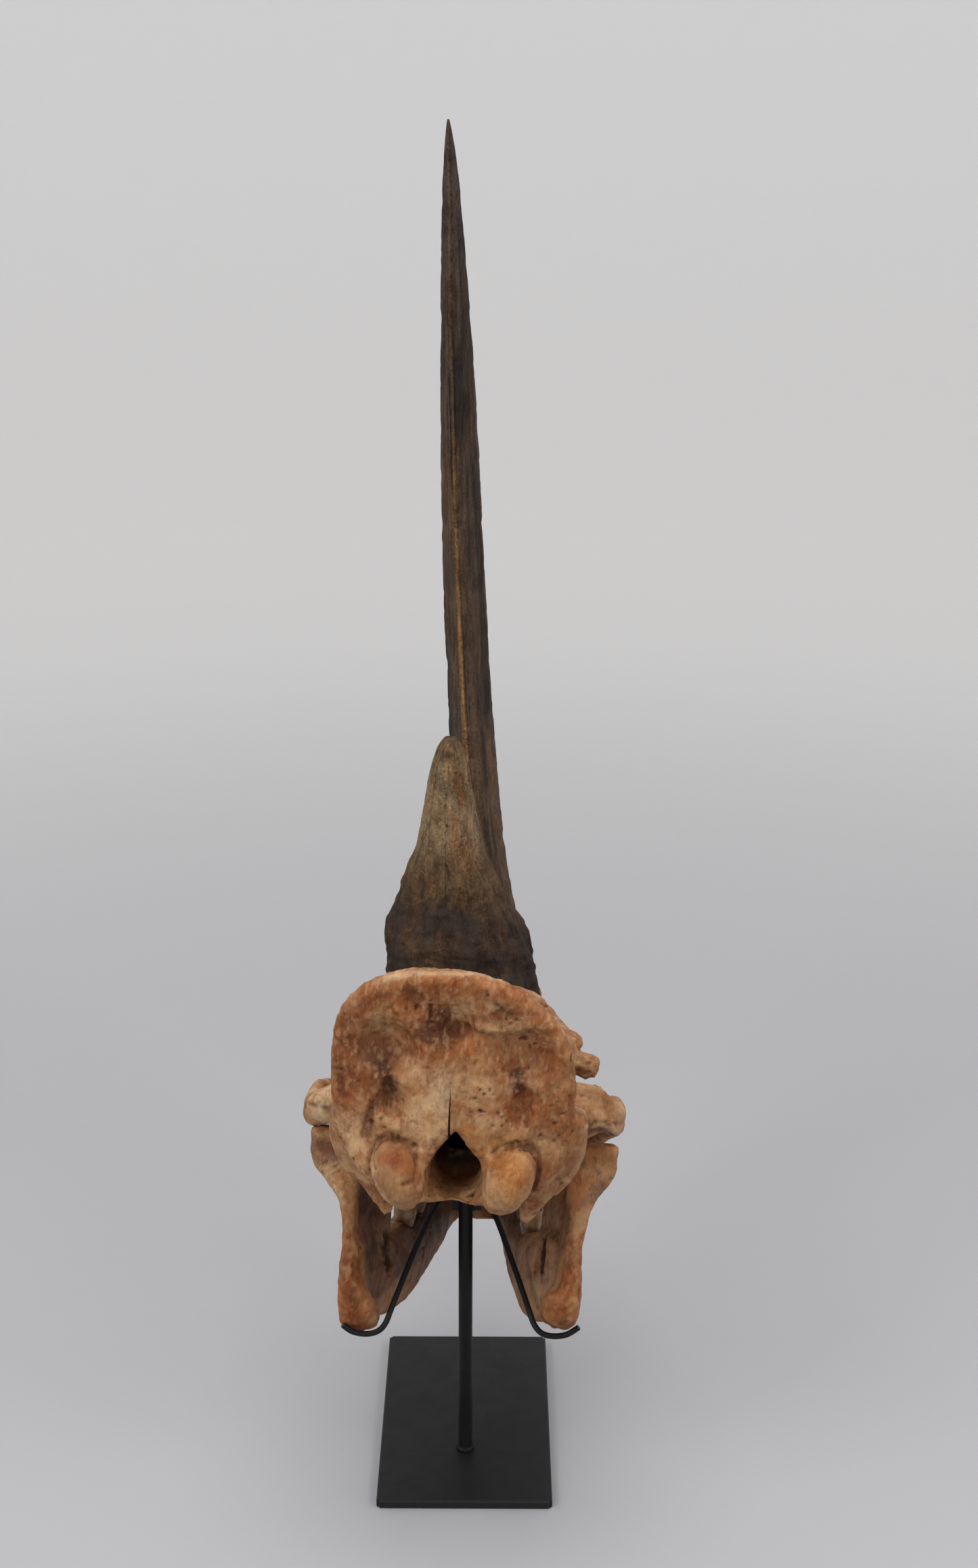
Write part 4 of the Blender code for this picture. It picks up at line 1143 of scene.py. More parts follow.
def add_jaw(shell):
    for side in (-1, 1):
        lift, out = ANGLE_LIFT[side], RAMUS_OUT[side]
        # the branch from the angle to the chin, then the plate above it
        add_limb(shell, mirrored([
            (107, 122, -150 + lift, 7, 36), (98, 150, -164 + lift, 14, 46), (85, 210, -168, 21, 46),
            (75, 270, -166, 25, 45), (64, 330, -160, 25, 40), (51, 390, -152, 22, 33),
            (38, 440, -146, 20, 24), (29, 500, -137, 19, 17), (25, 546, -127, 18, 11),
        ], side), power=2.6)
        add_limb(shell, mirrored([
            (103, 146, -178, 10, 46), (105 + out, 160, -124, 8, 60), (109 + out, 161, -76, 7, 52),
            (112 + out, 158, -40, 8, 42), (118, 150, -18, 8, 32),
        ], side), up=(0, 1, 0), power=2.8)
        # the thin plate that slants in from the rear border
        add_limb(shell, [(side * (103 + out / 3), 158, z, thick, deep) for z, thick, deep in SLANT_PLATE],
                 up=(side * -0.5, 1, 0))
        # the rear border, the joint knob and the muscle process
        add_limb(shell, mirrored([
            (100 + out, 116, -204 + lift, 20, 13), (106 + out, 99, -184 + lift, 22, 18),
            (115 + out, 92, -142, 13, 14), (116 + out, 96, -100, 9, 12), (120 + out, 102, -62, 11, 12),
            (128 + out / 3, 112, -36, 20, 12), (139, 121, -16, 27, 13), (141, 124, -5, 29, 12),
        ], side), up=(0, 1, 0))
        add_limb(shell, mirrored([
            (86, 127, -4, 14, 9), (104, 127, 1, 15, 11), (130, 126, 3, 15, 12),
            (154, 124, 5, 14, 12), (168, 122, 4, 10, 11),
        ], side))
        add_limb(shell, mirrored([
            (110, 178, -70, 8, 30), (111, 188, -20, 7, 20), (112, 196, 26, 7, 14),
            (112, 194, 58, 5, 8),
        ], side), up=(0, 1, 0))
    # the chin
    add_body(shell, [
        (404, -140, -158, 28, 2.4), (432, -128, -166, 40, 2.5), (480, -121, -158, 42, 2.5),
        (530, -115, -141, 44, 2.5), (560, -115, -130, 37, 2.3),
    ])


def jaw_canals():
    shell = bmesh.new()
    for side in (-1, 1):
        add_ball(shell, (side * 86, 158, -126), (12, 9, 20))
    return object_from(shell, "jaw_canals")


def sculpt_rear_border(clay, side):
    """The rough orange rear border and angle."""
    lift, out = ANGLE_LIFT[side], RAMUS_OUT[side]
    border = mirrored([(112 + out, 90, -90), (112 + out, 82, -142), (112 + out, 84, -184 + lift),
                       (104, 104, -214 + lift), (96, 150, -212 + lift)], side)
    far = clay.along(border)[0]
    rough = hump(far, 19)
    clay.paint(ORANGE, 0.9 * hump(far, 22))
    clay.paint(RUST, 0.75 * rough * smoothstep(-0.1, 0.4, noise(clay.p, 17, 110)))
    clay.paint(UMBER, 0.55 * rough * smoothstep(0.1, 0.6, noise(clay.p, (12, 12, 26), 113)))
    clay.push(rough * (2.4 * noise(clay.p, (13, 13, 22), 111) + 1.3 * noise(clay.p, 6, 112)))
    clay.refresh()


def sculpt_branch(clay, side):
    """Muscle lines, nerve holes painted near black as shade, root bulges, and the colours of the neck."""
    lift, out = ANGLE_LIFT[side], RAMUS_OUT[side]
    for k, end in enumerate(MUSCLE_LINE_ENDS):
        clay.stroke(mirrored([(94, 104, -150 - 12 * k), end], side), 4.5, 1.6, taper=True)
    clay.stroke(mirrored([(122, 150, -60), (118, 160, -100), (116, 150, -140)], side), 22, -2.4, CREAM, 0.5)
    clay.stroke(mirrored([(96, 104, -170), (92, 108, -190 + lift)], side), 10, -1.5, UMBER, 0.7)
    # painted shade: each nerve hole is a shallow dent painted near black
    for hole in mirrored(JAW_NERVE_HOLES, side):
        clay.stroke([clay.nearest(hole)], 4, -3.8, NEAR_BLACK, 1.0, rag=0.1)
    for i, at in enumerate(LOWER_ROOTS):
        out_at, between = side * (64 + 6 * i), side * (62 + 6 * i)
        clay.stroke([(out_at, at, -124), (out_at, at, -146)], 8, 2.0, TAN, 0.4)
        clay.stroke([(between, at - 17, -122), (between, at - 17, -134)], 6, -1.2, RUST, 0.5)
    clay.stroke(mirrored([(114 + out, 96, -100), (120 + out, 102, -66)], side), 13, 0, TAN, 0.75)
    clay.stroke(mirrored([(100 + out, 108, -96), (104 + out, 114, -56)], side), 8, 0, RUST, 0.8)
    clay.refresh()


def paint_inner_face(clay, side):
    """Stained nearly black on the left and grey-brown on the right, with paler streaks on both."""
    ground, dark, dark_share, pale_share = INNER_FACE[side]
    y, z = clay.p[:, 1], clay.p[:, 2]
    inner = smoothstep(0.05, 0.5, -side * clay.n[:, 0]) * smoothstep(100, 112, y)
    inner = inner * smoothstep(-24, -44, z) * (1 - smoothstep(330, 420, y))
    stain = smoothstep(-0.3, 0.4, fractal(clay.p, (30, 60, 22), 3, 108))
    streaks = smoothstep(0.10, 0.5, fractal(clay.p, (20, 70, 12), 3, 109))
    clay.paint(ground, 0.95 * inner)
    clay.paint(dark, dark_share * inner * stain)
    clay.paint(TAN, pale_share * inner * streaks)
    lift = ANGLE_LIFT[side]
    clay.paint(TAN, 0.7 * inner * smoothstep(-188 + lift, -204 + lift, z - 0.10 * y))


def sculpt_jaw(clay):
    clay.cloud(((CREAM, 0.45, -0.05, 0.60, 48, 3, 101), (ORANGE, 0.65, 0.05, 0.70, 40, 3, 102),
                (RUST, 0.60, 0.20, 0.80, 22, 3, 103)), clay.p)
    clay.push(0.9 * fractal(clay.p, 40, 3, 105))
    clay.refresh()
    for side in (-1, 1):
        sculpt_rear_border(clay, side)
        sculpt_branch(clay, side)
        paint_inner_face(clay, side)
    clay.refresh()
    # the nerve canals: long slits seen on the inner faces, painted near black as the shade inside them, in a
    # tan surround
    for slit in (LEFT_SLIT, RIGHT_SLIT):
        clay.pixels(slit, 15, color=TAN, amount=0.35)
        clay.pixels(slit, 7.5, color=NEAR_BLACK, amount=1.0, rag=0.12)
        clay.pixels(slit, 6.5, -5, rag=0.1)
    clay.refresh()
    # the joint knobs, purple-brown behind and polished above
    clay.stroke([(-168, 116, 0), (-136, 112, -12)], 13, 0, PLUM, 0.75)
    clay.stroke([(-150, 106, -36), (-132, 98, -60)], 12, 0, PALE, 0.6)
    clay.stroke([(168, 114, 0), (136, 110, -14)], 12, 0, TAN, 0.75)
    clay.stroke([(150, 110, -28), (132, 102, -46)], 8, 0, PLUM, 0.6)
    p = clay.p
    y, z = p[:, 1], p[:, 2]
    knobs = smoothstep(-20, -6, z) * (1 - smoothstep(20, 34, z)) * (1 - smoothstep(142, 150, y))
    clay.masks["polish"] = knobs
    chin = smoothstep(500, 545, y)
    clay.push(chin * (1.3 * noise(p, 7, 121) + 1.0 * noise(p, 4, 122)))
    clay.push(0.45 * noise(p, (5, 5, 14), 131) + 0.36 * fractal(p, 8, 2, 132))
    clay.pit(p, (4.6, 133), (26, 134), 0.35, 1, 5.0, 2.2)
    deep, fine = clay.hollows(14), clay.hollows(2)
    clay.paint(UMBER, 0.55 * smoothstep(0.3, 2.2, deep) + 0.45 * smoothstep(0.10, 0.55, fine))
    clay.paint(CREAM, 0.30 * smoothstep(0.5, 2.4, -deep) + 0.20 * smoothstep(0.10, 0.5, -fine))


def keep_clear(clay, other, gap):
    """Moves points that lie inside another piece out to its surface, with a small gap."""
    mesh = other.data
    tree = BVHTree.FromPolygons([v.co for v in mesh.vertices], [tuple(f.vertices) for f in mesh.polygons])
    back = clay.to_world.inverted()
    high, behind = JOINT_REGION
    for i in np.nonzero((clay.p[:, 2] > high) & (clay.p[:, 1] < behind))[0]:
        place = clay.to_world @ (Vector(clay.p[i]) * MM)
        near, normal, _, far = tree.find_nearest(place)
        if near is not None and (place - near).dot(normal) < gap and far < NEAR_THE_JOINT:
            clay.p[i] = np.array((back @ (near + normal * gap)) / MM)


def make_jaw(material, cranium):
    shell = bmesh.new()
    add_jaw(shell)
    obj = object_from(shell, "mandible_bone")
    fused(obj, JAW_VOXEL, 0)
    cut(obj, jaw_canals())
    fused(obj, JAW_VOXEL, 11)
    clay = Clay(obj, JAW, TAN)
    sculpt_jaw(clay)
    keep_clear(clay, cranium, JOINT_GAP)
    clay.finish("mandible_bone", material, ["mandible"])


# Teeth

UPPER_GUM, UPPER_CROWN, UPPER_ROOT = -72, 26, 14
LOWER_GUM, LOWER_CROWN, LOWER_ROOT = -122.5, 24, 14
TOOTH_SPACE = 0.8
UPPER_TEETH = (
    ("p2", 27, 28, 53), ("p3", 33, 38, 58), ("p4", 38, 44, 63),
    ("m1", 44, 50, 67), ("m2", 50, 53, 70), ("m3", 45, 48, 71),
)
LOWER_TEETH = (
    ("p2", 24, 17, 47), ("p3", 30, 22, 52), ("p4", 35, 26, 57),
    ("m1", 40, 29, 62), ("m2", 45, 30, 67), ("m3", 46, 28, 73),
)
UPPER_ROW_FRONT, LOWER_ROW_FRONT = 470, 462
TOOTH_SIDES, TOOTH_LEVELS, TOOTH_TOPS = 72, 22, 16
# How full a tooth is at each height, in shares of its crown above the gum
TOOTH_HEIGHTS = (-0.6, 0.0, 0.15, 0.5, 0.9, 1.0)
TOOTH_SHARES = (0.70, 0.84, 0.93, 0.985, 0.95, 0.90)
ENAMEL = np.array((0.33, 0.215, 0.118))
ROOT_TINT = np.array((0.17, 0.086, 0.042))
DENTINE = np.array((0.12, 0.066, 0.036))


def tooth_place(tooth, angle, share, depth):
    """A point of a tooth's outline, with ribs and folds on its flanks."""
    u, v = rounded(angle, 3.0)
    if tooth["row"] == "upper":
        folds = 0.10 * math.exp(-((v + 0.15) / 0.16) ** 2) * (u < 0)
        ribs = 0.045 * math.cos(v * 7.0 + 0.6) * (u > 0) - folds
    else:
        ribs = -0.17 * math.exp(-((v - 0.08) / 0.17) ** 2) + 0.03 * math.cos(v * 11)
    grow = 1 + ribs * depth
    (x, y), (width, length) = tooth["middle"], tooth["size"]
    return (x + tooth["side"] * u * width / 2 * share * grow, y + v * length / 2 * share)


def tooth_wall(tooth):
    """Rings and tints of the root and the crown, from the root's tip to the rim."""
    gum, crown, root, way = tooth["gum"], tooth["crown"], tooth["root"], tooth["way"]
    rings, tints = [], []
    for level in range(TOOTH_LEVELS):
        t = level / (TOOTH_LEVELS - 1)
        height = -way * root + (crown + way * root) * t
        above = (way * height) / abs(crown)
        share = float(np.interp(above, TOOTH_HEIGHTS, TOOTH_SHARES))
        rings.append([(*tooth_place(tooth, 2 * math.pi * i / TOOTH_SIDES, share, 0.4 + 0.6 * max(0, above)),
                       gum + height) for i in range(TOOTH_SIDES)])
        stain = 1 - float(smoothstep(0.05, 0.45, above))
        tints.append(ENAMEL * (1 - stain) + ROOT_TINT * stain)
    return rings, tints


def tooth_crest(tooth, u, v):
    """The enamel crests of the worn top: two slanting lophs above, and two crescents below."""
    if tooth["row"] == "upper":
        offs = ((v - 0.42 - 0.25 * u) / 0.10, (v + 0.38 - 0.22 * u) / 0.10)
    else:
        offs = ((v - 0.5 + 0.5 * u * u) / 0.13, (v + 0.42 + 0.5 * u * u) / 0.13)
    return max(math.exp(-off ** 2) for off in offs)


def tooth_top(tooth):
    """Rings and tints of the worn top, from the rim to the middle."""
    (x, y), (width, length) = tooth["middle"], tooth["size"]
    rings, tints = [], []
    for step in range(1, TOOTH_TOPS):
        t = step / (TOOTH_TOPS - 1)
        ring = []
        for i in range(TOOTH_SIDES):
            q = tooth_place(tooth, 2 * math.pi * i / TOOTH_SIDES, TOOTH_SHARES[-1] * (1 - t) + 0.02, 1.0)
            crest = tooth_crest(tooth, (q[0] - x) / (width / 2) * tooth["side"], (q[1] - y) / (length / 2))
            drop = float(smoothstep(0.08, 0.22, t)) * (3.6 - 3.0 * crest * (1 - t * 0.4))
            ring.append((*q, tooth["gum"] + tooth["crown"] - tooth["way"] * drop))
        rings.append(ring)
        tints.append(DENTINE if t > 0.2 else ENAMEL * 1.2)
    return rings, tints


def make_tooth(name, row, side, middle, size, material):
    """A ribbed high crown, with enamel rims round a worn, cupped dentine top."""
    upper = row == "upper"
    tooth = {"row": row, "side": side, "middle": middle, "size": size}
    if upper:
        tooth.update(gum=UPPER_GUM, crown=-UPPER_CROWN, root=UPPER_ROOT, way=-1)
    else:
        tooth.update(gum=LOWER_GUM, crown=LOWER_CROWN, root=LOWER_ROOT, way=1)
    wall, wall_tints = tooth_wall(tooth)
    top, top_tints = tooth_top(tooth)
    seed = sum(ord(c) for c in name)
    shell = bmesh.new()
    loft(shell, wall + top)
    clay = Clay(object_from(shell, name), SKULL if upper else JAW, TAN)
    clay.tint = np.repeat(np.array(wall_tints + top_tints), TOOTH_SIDES, axis=0)
    clay.push(0.22 * noise(clay.p, (2.2, 2.2, 9), seed) - 0.25 + 0.2 * noise(clay.p, 6, seed + 1))
    clay.finish(name + "_crown", material, [name])


def make_teeth(material):
    rows = (("upper", UPPER_TEETH, UPPER_ROW_FRONT), ("lower", LOWER_TEETH, LOWER_ROW_FRONT))
    for side, side_name in ((-1, "left"), (1, "right")):
        for row, teeth, front in rows:
            y = front
            for name, length, width, out in teeth:
                make_tooth(f"{row}_{side_name}_{name}", row, side, (side * out, y - length / 2),
                           (width, length), material)
                y -= length + TOOTH_SPACE


# Horns: each key is a share of the length, half width, half depth, and how keeled the rear is

NASAL_HORN = {
    "base": (0, 556, 84), "length": NASAL_HORN_LENGTH, "lean": (13, -32), "sway": -74, "bow": -15,
    "sides": 150, "count": 560,
    "keys": [
        (0, 58, 104, 0), (0.03, 56, 103, 0.05), (0.09, 42, 97, 0.2), (0.18, 33, 91, 0.35),
        (0.31, 29.5, 85, 0.45), (0.45, 28, 76, 0.5), (0.60, 25, 65, 0.5), (0.70, 22, 55, 0.5),
        (0.78, 18.5, 46, 0.5), (0.86, 14.5, 35, 0.45), (0.92, 11, 25, 0.4), (0.96, 7.5, 16, 0.3),
        (0.985, 4, 8, 0.1), (1, 1.2, 2.5, 0),
    ],
}
FRONTAL_HORN = {
    "base": (-12, 300, 112), "length": FRONTAL_HORN_LENGTH, "lean": (4, -16), "sway": -34, "bow": 0,
    "sides": 240, "count": 260,
    "keys": [
        (0, 89, 98, 0), (0.12, 88, 97, 0), (0.22, 86, 94, 0), (0.30, 82, 88, 0), (0.37, 70, 76, 0.05),
        (0.44, 61, 68, 0.1), (0.52, 51, 60, 0.1), (0.60, 40, 50, 0.1), (0.75, 30, 40, 0.1),
        (0.85, 24.5, 32, 0.1), (0.92, 19.5, 25, 0), (0.97, 14, 17, 0), (1, 7, 8, 0),
    ],
}
HORN_STEPS = 6
REAR = 1.5 * math.pi  # the angle round a horn that faces the camera


def horn_surface(horn):
    """Places over a horn by ring and by angle, with the way out, share of length and angle of each."""
    sides, count = horn["sides"], horn["count"]
    rows = np.array(through(horn["keys"], HORN_STEPS))
    place = np.array(horn["base"], float)
    turn = np.arange(sides) * 2 * math.pi / sides
    u, v = np.cos(turn), np.sin(turn)
    first, last = (math.radians(angle) for angle in horn["lean"])
    points, outward = [], []
    for i in range(count):
        t = i / (count - 1)
        angle = first + (last - first) * t
        width, depth, keel = (float(np.interp(t, rows[:, 0], rows[:, k])) for k in (1, 2, 3))
        along = np.array((0, math.sin(angle), math.cos(angle)))
        ahead = np.array((0, math.cos(angle), -math.sin(angle)))
        shift = horn["sway"] * (1 - (1 - t) ** 2.6) + horn["bow"] * t ** 2.5
        narrow = 1 - keel * np.maximum(0, -v) ** 1.5
        points.append(place + np.outer(shift + u * width * narrow, (1, 0, 0)) + np.outer(v * depth, ahead))
        away = np.outer(u / width, (1, 0, 0)) + np.outer(v / depth, ahead)
        outward.append(away / np.linalg.norm(away, axis=1)[:, None])
        place = place + along * (horn["length"] / (count - 1))
    t = np.repeat(np.arange(count) / (count - 1), sides)
    return np.concatenate(points), np.concatenate(outward), t, np.tile(turn, count)


def wrapped(turn, along, radius, middle):
    """Places round a cylinder, so that noise on them meets itself all the way round."""
    return np.stack([np.cos(turn) * radius + middle, np.sin(turn) * radius + middle, along], axis=1)


def creases(ring, size, seed, width):
    """-1 in thin wandering lines, and 0 elsewhere."""
    return np.clip(np.abs(noise(ring, size, seed)), 0, width) / width - 1


def knots(ring, size, seed, above=0):
    return np.clip(noise(ring, size, seed) - above, 0, 1)


def make_horn(name, points, tint, horn, material, node):
    shell = bmesh.new()
    loft(shell, points.reshape(-1, horn["sides"], 3))
    clay = Clay(object_from(shell, name), SKULL, TAN)
    clay.tint = tint
    clay.finish(name, material, [node])


def layered(base, layers):
    """Colours laid over a base one after another: each layer is a colour and a share per point."""
    for color, share in layers:
        share = np.clip(share, 0, 1)[:, None]
        base = base * (1 - share) + np.array(color) * share
    return base


def nasal_relief(ring, turn, splits):
    """Cords and splits of matted fibre along the horn, slow swellings across it, and nicked edges."""
    cords = noise(ring, (8, 8, 240), 201) + 0.6 * noise(ring, (4, 4, 120), 202)
    bands = noise(ring, (400, 400, 34), 204) + 0.5 * noise(ring, (60, 60, 15), 205)
    threads = noise(ring, (2.6, 2.6, 60), 206)
    nick = knots(ring, (300, 300, 13), 208, 0.15) + 0.6 * knots(ring, (300, 300, 6), 209, 0.2)
    chips = knots(ring, (200, 200, 20), 210, 0.05) + 0.6 * knots(ring, (90, 90, 8), 211)
    edge, flank = np.abs(np.sin(turn)) ** 10, np.abs(np.cos(turn)) ** 4
    relief = 0.9 * cords + 1.5 * splits + 0.7 * bands + 0.35 * threads
    return relief - edge * nick * 5.5 - flank * chips * 2.0 - 0.6


def nasal_tint(ring, t, turn, splits):
    slow = fractal(ring, (60, 60, 130), 3, 214)
    fibres = fractal(ring, (10, 10, 150), 3, 215)
    rear = hump(turn - REAR + KEEL_TURN + 0.03 * noise(ring, (9, 9, 40), 212), 0.16)
    keel = rear * smoothstep(0.08, 0.16, t) * (1 - 0.75 * smoothstep(0.36, 0.66, t))
    broken = 0.45 + 0.55 * smoothstep(-0.4, 0.3, noise(ring, (12, 12, 30), 213))
    ridge = hump(turn - REAR + 0.04, 0.07) * (1 - smoothstep(0.80, 0.92, t))
    front = np.abs(np.sin(turn)) ** 10 * (np.sin(turn) > 0)
    return layered(np.tile(np.array((0.078, 0.050, 0.032)), (len(t), 1)), [
        ((0.120, 0.072, 0.040), 0.8 * smoothstep(0.05, 0.8, slow)),
        ((0.030, 0.021, 0.016), 0.8 * smoothstep(0.05, 0.7, -slow)),
        ((0.125, 0.078, 0.045), 0.6 * smoothstep(0.1, 0.8, fibres)),
        ((0.026, 0.018, 0.014), 0.7 * smoothstep(0.1, 0.7, -fibres)),
        ((0.064, 0.050, 0.046), 0.6 * smoothstep(0.74, 0.95, t)),
        ((0.020, 0.015, 0.012), 0.8 * np.clip(-splits, 0, 1)),
        ((0.115, 0.075, 0.045), 0.4 * ridge),
        ((0.300, 0.165, 0.066), 1.0 * keel * broken),
        ((0.030, 0.022, 0.018), 0.6 * front),
    ])


def make_nasal_horn(material):
    p, out, t, turn = horn_surface(NASAL_HORN)
    ring = wrapped(turn, t * NASAL_HORN_LENGTH, 60, 200)
    splits = creases(ring, (9, 9, 330), 203, 0.12) * smoothstep(0, 0.2, noise(ring, (50, 50, 200), 207))
    size = np.interp(t, (0, 0.1, 0.9, 1), (1, 1, 0.5, 0.05))
    p = p + out * (nasal_relief(ring, turn, splits) * size)[:, None]
    tint = nasal_tint(ring, t, turn, splits)
    make_horn("nasal_horn_fibre", p, tint, NASAL_HORN, material, "nasal_horn")


def frontal_relief(ring, skirt, cracks, groove, scabs):
    """Cords, lumps and ledges, stronger low down, and the scabbed groove in the back."""
    cords = noise(ring, (9, 9, 90), 301) + 0.6 * noise(ring, (5, 5, 50), 302)
    lumps = fractal(ring, (28, 28, 22), 3, 303)
    ledges = noise(ring, (120, 120, 14), 304) + 0.6 * noise(ring, (30, 30, 7), 305)
    relief = 0.8 * cords + (1.0 + 2.2 * skirt) * lumps + (0.45 + 1.3 * skirt) * ledges
    relief = relief + 0.4 * noise(ring, (3, 3, 22), 306)
    return relief + 1.4 * cracks - 0.9 * groove - 1.6 * scabs - 1.2


def frontal_tint(ring, t, turn, skirt, cracks, groove, scabs):
    """Pale above and dark below, with a bare scar near the tip."""
    back = turn - REAR
    scar = np.exp(-(((back + 0.10) / 0.42) ** 2 + ((t - 0.955) / 0.018) ** 2))
    rim = hump(np.sqrt(((back + 0.10) / 0.50) ** 2 + ((t - 0.952) / 0.024) ** 2) - 1, 0.3)
    slow = fractal(ring, (46, 46, 40), 4, 311)
    spots = fractal(ring, (9, 9, 9), 3, 312)
    warm = hump(back - 0.55, 0.35) * smoothstep(0.5, 0.62, t) * (1 - smoothstep(0.88, 0.95, t))
    right = smoothstep(0.3, 0.9, np.cos(turn)) * smoothstep(0.42, 0.15, t)
    return layered(np.tile(np.array((0.066, 0.040, 0.023)), (len(t), 1)), [
        ((0.034, 0.023, 0.016), 0.9 * smoothstep(0.36, 0.16, t)),
        ((0.235, 0.165, 0.088), smoothstep(0.50, 0.66, t + 0.05 * slow)),
        ((0.130, 0.080, 0.040), 0.85 * hump(t - 0.50 - 0.05 * slow, 0.075)),
        ((0.245, 0.120, 0.048), 0.75 * warm),
        ((0.235, 0.185, 0.110), 0.6 * smoothstep(0.1, 0.7, slow) * smoothstep(0.58, 0.72, t)),
        ((0.030, 0.022, 0.018), 0.85 * smoothstep(0.05, 0.75, -slow) * smoothstep(0.62, 0.45, t)),
        ((0.120, 0.074, 0.038), 0.55 * smoothstep(0.15, 0.8, slow) * skirt),
        ((0.040, 0.026, 0.018), 0.75 * smoothstep(0.30, 0.75, spots) * (0.35 + 0.65 * skirt)),
        ((0.026, 0.019, 0.016), 0.55 * right),
        ((0.035, 0.020, 0.013), 0.9 * scabs + 0.12 * groove),
        ((0.085, 0.048, 0.027), 0.75 * smoothstep(0.90, 0.99, t)),
        ((0.045, 0.024, 0.015), 0.85 * scar),
        ((0.190, 0.120, 0.062), 0.45 * rim * smoothstep(0.90, 0.93, t)),
        ((0.025, 0.018, 0.015), 0.8 * np.clip(-cracks, 0, 1)),
    ])


def make_frontal_horn(material):
    p, out, t, turn = horn_surface(FRONTAL_HORN)
    ring = wrapped(turn, t * FRONTAL_HORN_LENGTH, 90, 300)
    skirt = smoothstep(0.62, 0.30, t)
    cracks = creases(ring, (16, 16, 120), 307, 0.09) * smoothstep(0, 0.3, noise(ring, (60, 60, 80), 308))
    groove = hump(turn - REAR + 0.09 * noise(ring, (40, 40, 11), 310), 0.055)
    groove = groove * smoothstep(0.44, 0.55, t) * (1 - smoothstep(0.76, 0.86, t))
    scabs = groove * smoothstep(0.0, 0.3, noise(ring, (10, 10, 6), 309))
    size = np.interp(t, (0, 0.5, 0.97, 1), (1.2, 0.9, 0.5, 0.1))
    p = p + out * (frontal_relief(ring, skirt, cracks, groove, scabs) * size)[:, None]
    tint = frontal_tint(ring, t, turn, skirt, cracks, groove, scabs)
    make_horn("frontal_horn_fibre", p, tint, FRONTAL_HORN, material, "frontal_horn")


# Stand, in world millimetres

POST_Y, POST_FOOT, POST_SIDES = -72, 10.3, 64
POST_LEVELS = [0, 0.4, 0.9, 1.5, 2.2, 2.9, 3.6, 4.4, 6, 60, 150, 240, 320, 361.2, 361.7]
POST_CHAMFER = 0.5
BEAD_WIDTH, BEAD_HEIGHT = 2.6, 4.6
ROD_STEPS, ROD_INSET = 8, 0.985
LEFT_CRADLE = [
    (-10, -58, 356), (-22, -70, 349), (-42.5, -104, 327), (-64, -160, 296), (-79, -201, 273),
    (-85, -213, 262), (-93, -218, 255), (-106, -219, 252), (-121, -219, 255), (-131, -219, 263),
]
RIGHT_CRADLE = [
    (10, -58, 356), (18, -70, 349), (36, -104, 327), (56, -160, 296), (70, -202, 273),
    (76, -215, 262), (84, -221, 255), (96, -222, 252), (111, -222, 254), (124, -222, 263),
]


def make_post(material):
    """The round post with its weld bead and a small chamfer at the top."""
    rings = []
    for level in POST_LEVELS:
        ring = []
        for i in range(POST_SIDES):
            a = 2 * math.pi * i / POST_SIDES
            bead = BEAD_WIDTH * math.sqrt(max(0.0, 1 - (level / BEAD_HEIGHT) ** 2))
            r = POST_DIAMETER / 2 + bead * (0.86 + 0.14 * math.sin(a * 17 + level))
            r -= POST_CHAMFER if level == POST_LEVELS[-1] else 0
            ring.append((r * math.cos(a), POST_Y + r * math.sin(a), POST_FOOT + level))
        rings.append(ring)
    shell = bmesh.new()
    loft(shell, rings)
    place_steel(object_from(shell, "post_and_weld"), material, "post")


def make_rod(path, material, node):
    points = through(path, ROD_STEPS)
    curve = bpy.data.curves.new(node + "_rod", "CURVE")
    curve.dimensions = "3D"
    curve.bevel_depth = CRADLE_DIAMETER / 2 * MM * ROD_INSET
    curve.bevel_resolution = 6
    curve.use_fill_caps = True
    spline = curve.splines.new("POLY")
    spline.points.add(len(points) - 1)
    for point, place in zip(spline.points, points):
        point.co = (*(Vector(place) * MM), 1)
    rod = bpy.data.objects.new(node + "_curve", curve)
    bpy.context.scene.collection.objects.link(rod)
    graph = bpy.context.evaluated_depsgraph_get()
    mesh = bpy.data.meshes.new_from_object(rod.evaluated_get(graph))
    bpy.data.objects.remove(rod)
    obj = bpy.data.objects.new(node + "_rod", mesh)
    bpy.context.scene.collection.objects.link(obj)
    place_steel(obj, material, node)


def make_stand(material):
    for node in ("base_plate", "skull_rest", "bracket"):
        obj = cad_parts[node]
        obj.data.materials.clear()
        obj.data.materials.append(material)
    make_post(material)
    make_rod(LEFT_CRADLE, material, "left_cradle")
    make_rod(RIGHT_CRADLE, material, "right_cradle")


def place_steel(obj, material, node):
    obj.data.materials.clear()
    obj.data.materials.append(material)
    obj.data.shade_smooth()
    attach(obj, "root")
    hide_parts(node)


# Studio, in metres

FLOOR_MIDDLE, FLOOR_REACH, BOWL, FLOOR_SIDES = 0.001, 4.5, 2.6, 96
WALL_LEVELS = (3.4, 4.6)
SKY_COLOR, SKY_STRENGTH = (0.80, 0.80, 0.81, 1), 0.92
LIGHTS = (  # name, place, target, size, power
    ("softbox_left", (-2.3, -2.0, 2.7), (0, 0, 0.6), 1.6, 42),
    ("softbox_right", (2.3, -1.6, 2.3), (0, 0, 0.6), 1.2, 22),
    ("overhead", (0, -0.3, 3.2), (0, 0, 0.4), 1.6, 34),
)


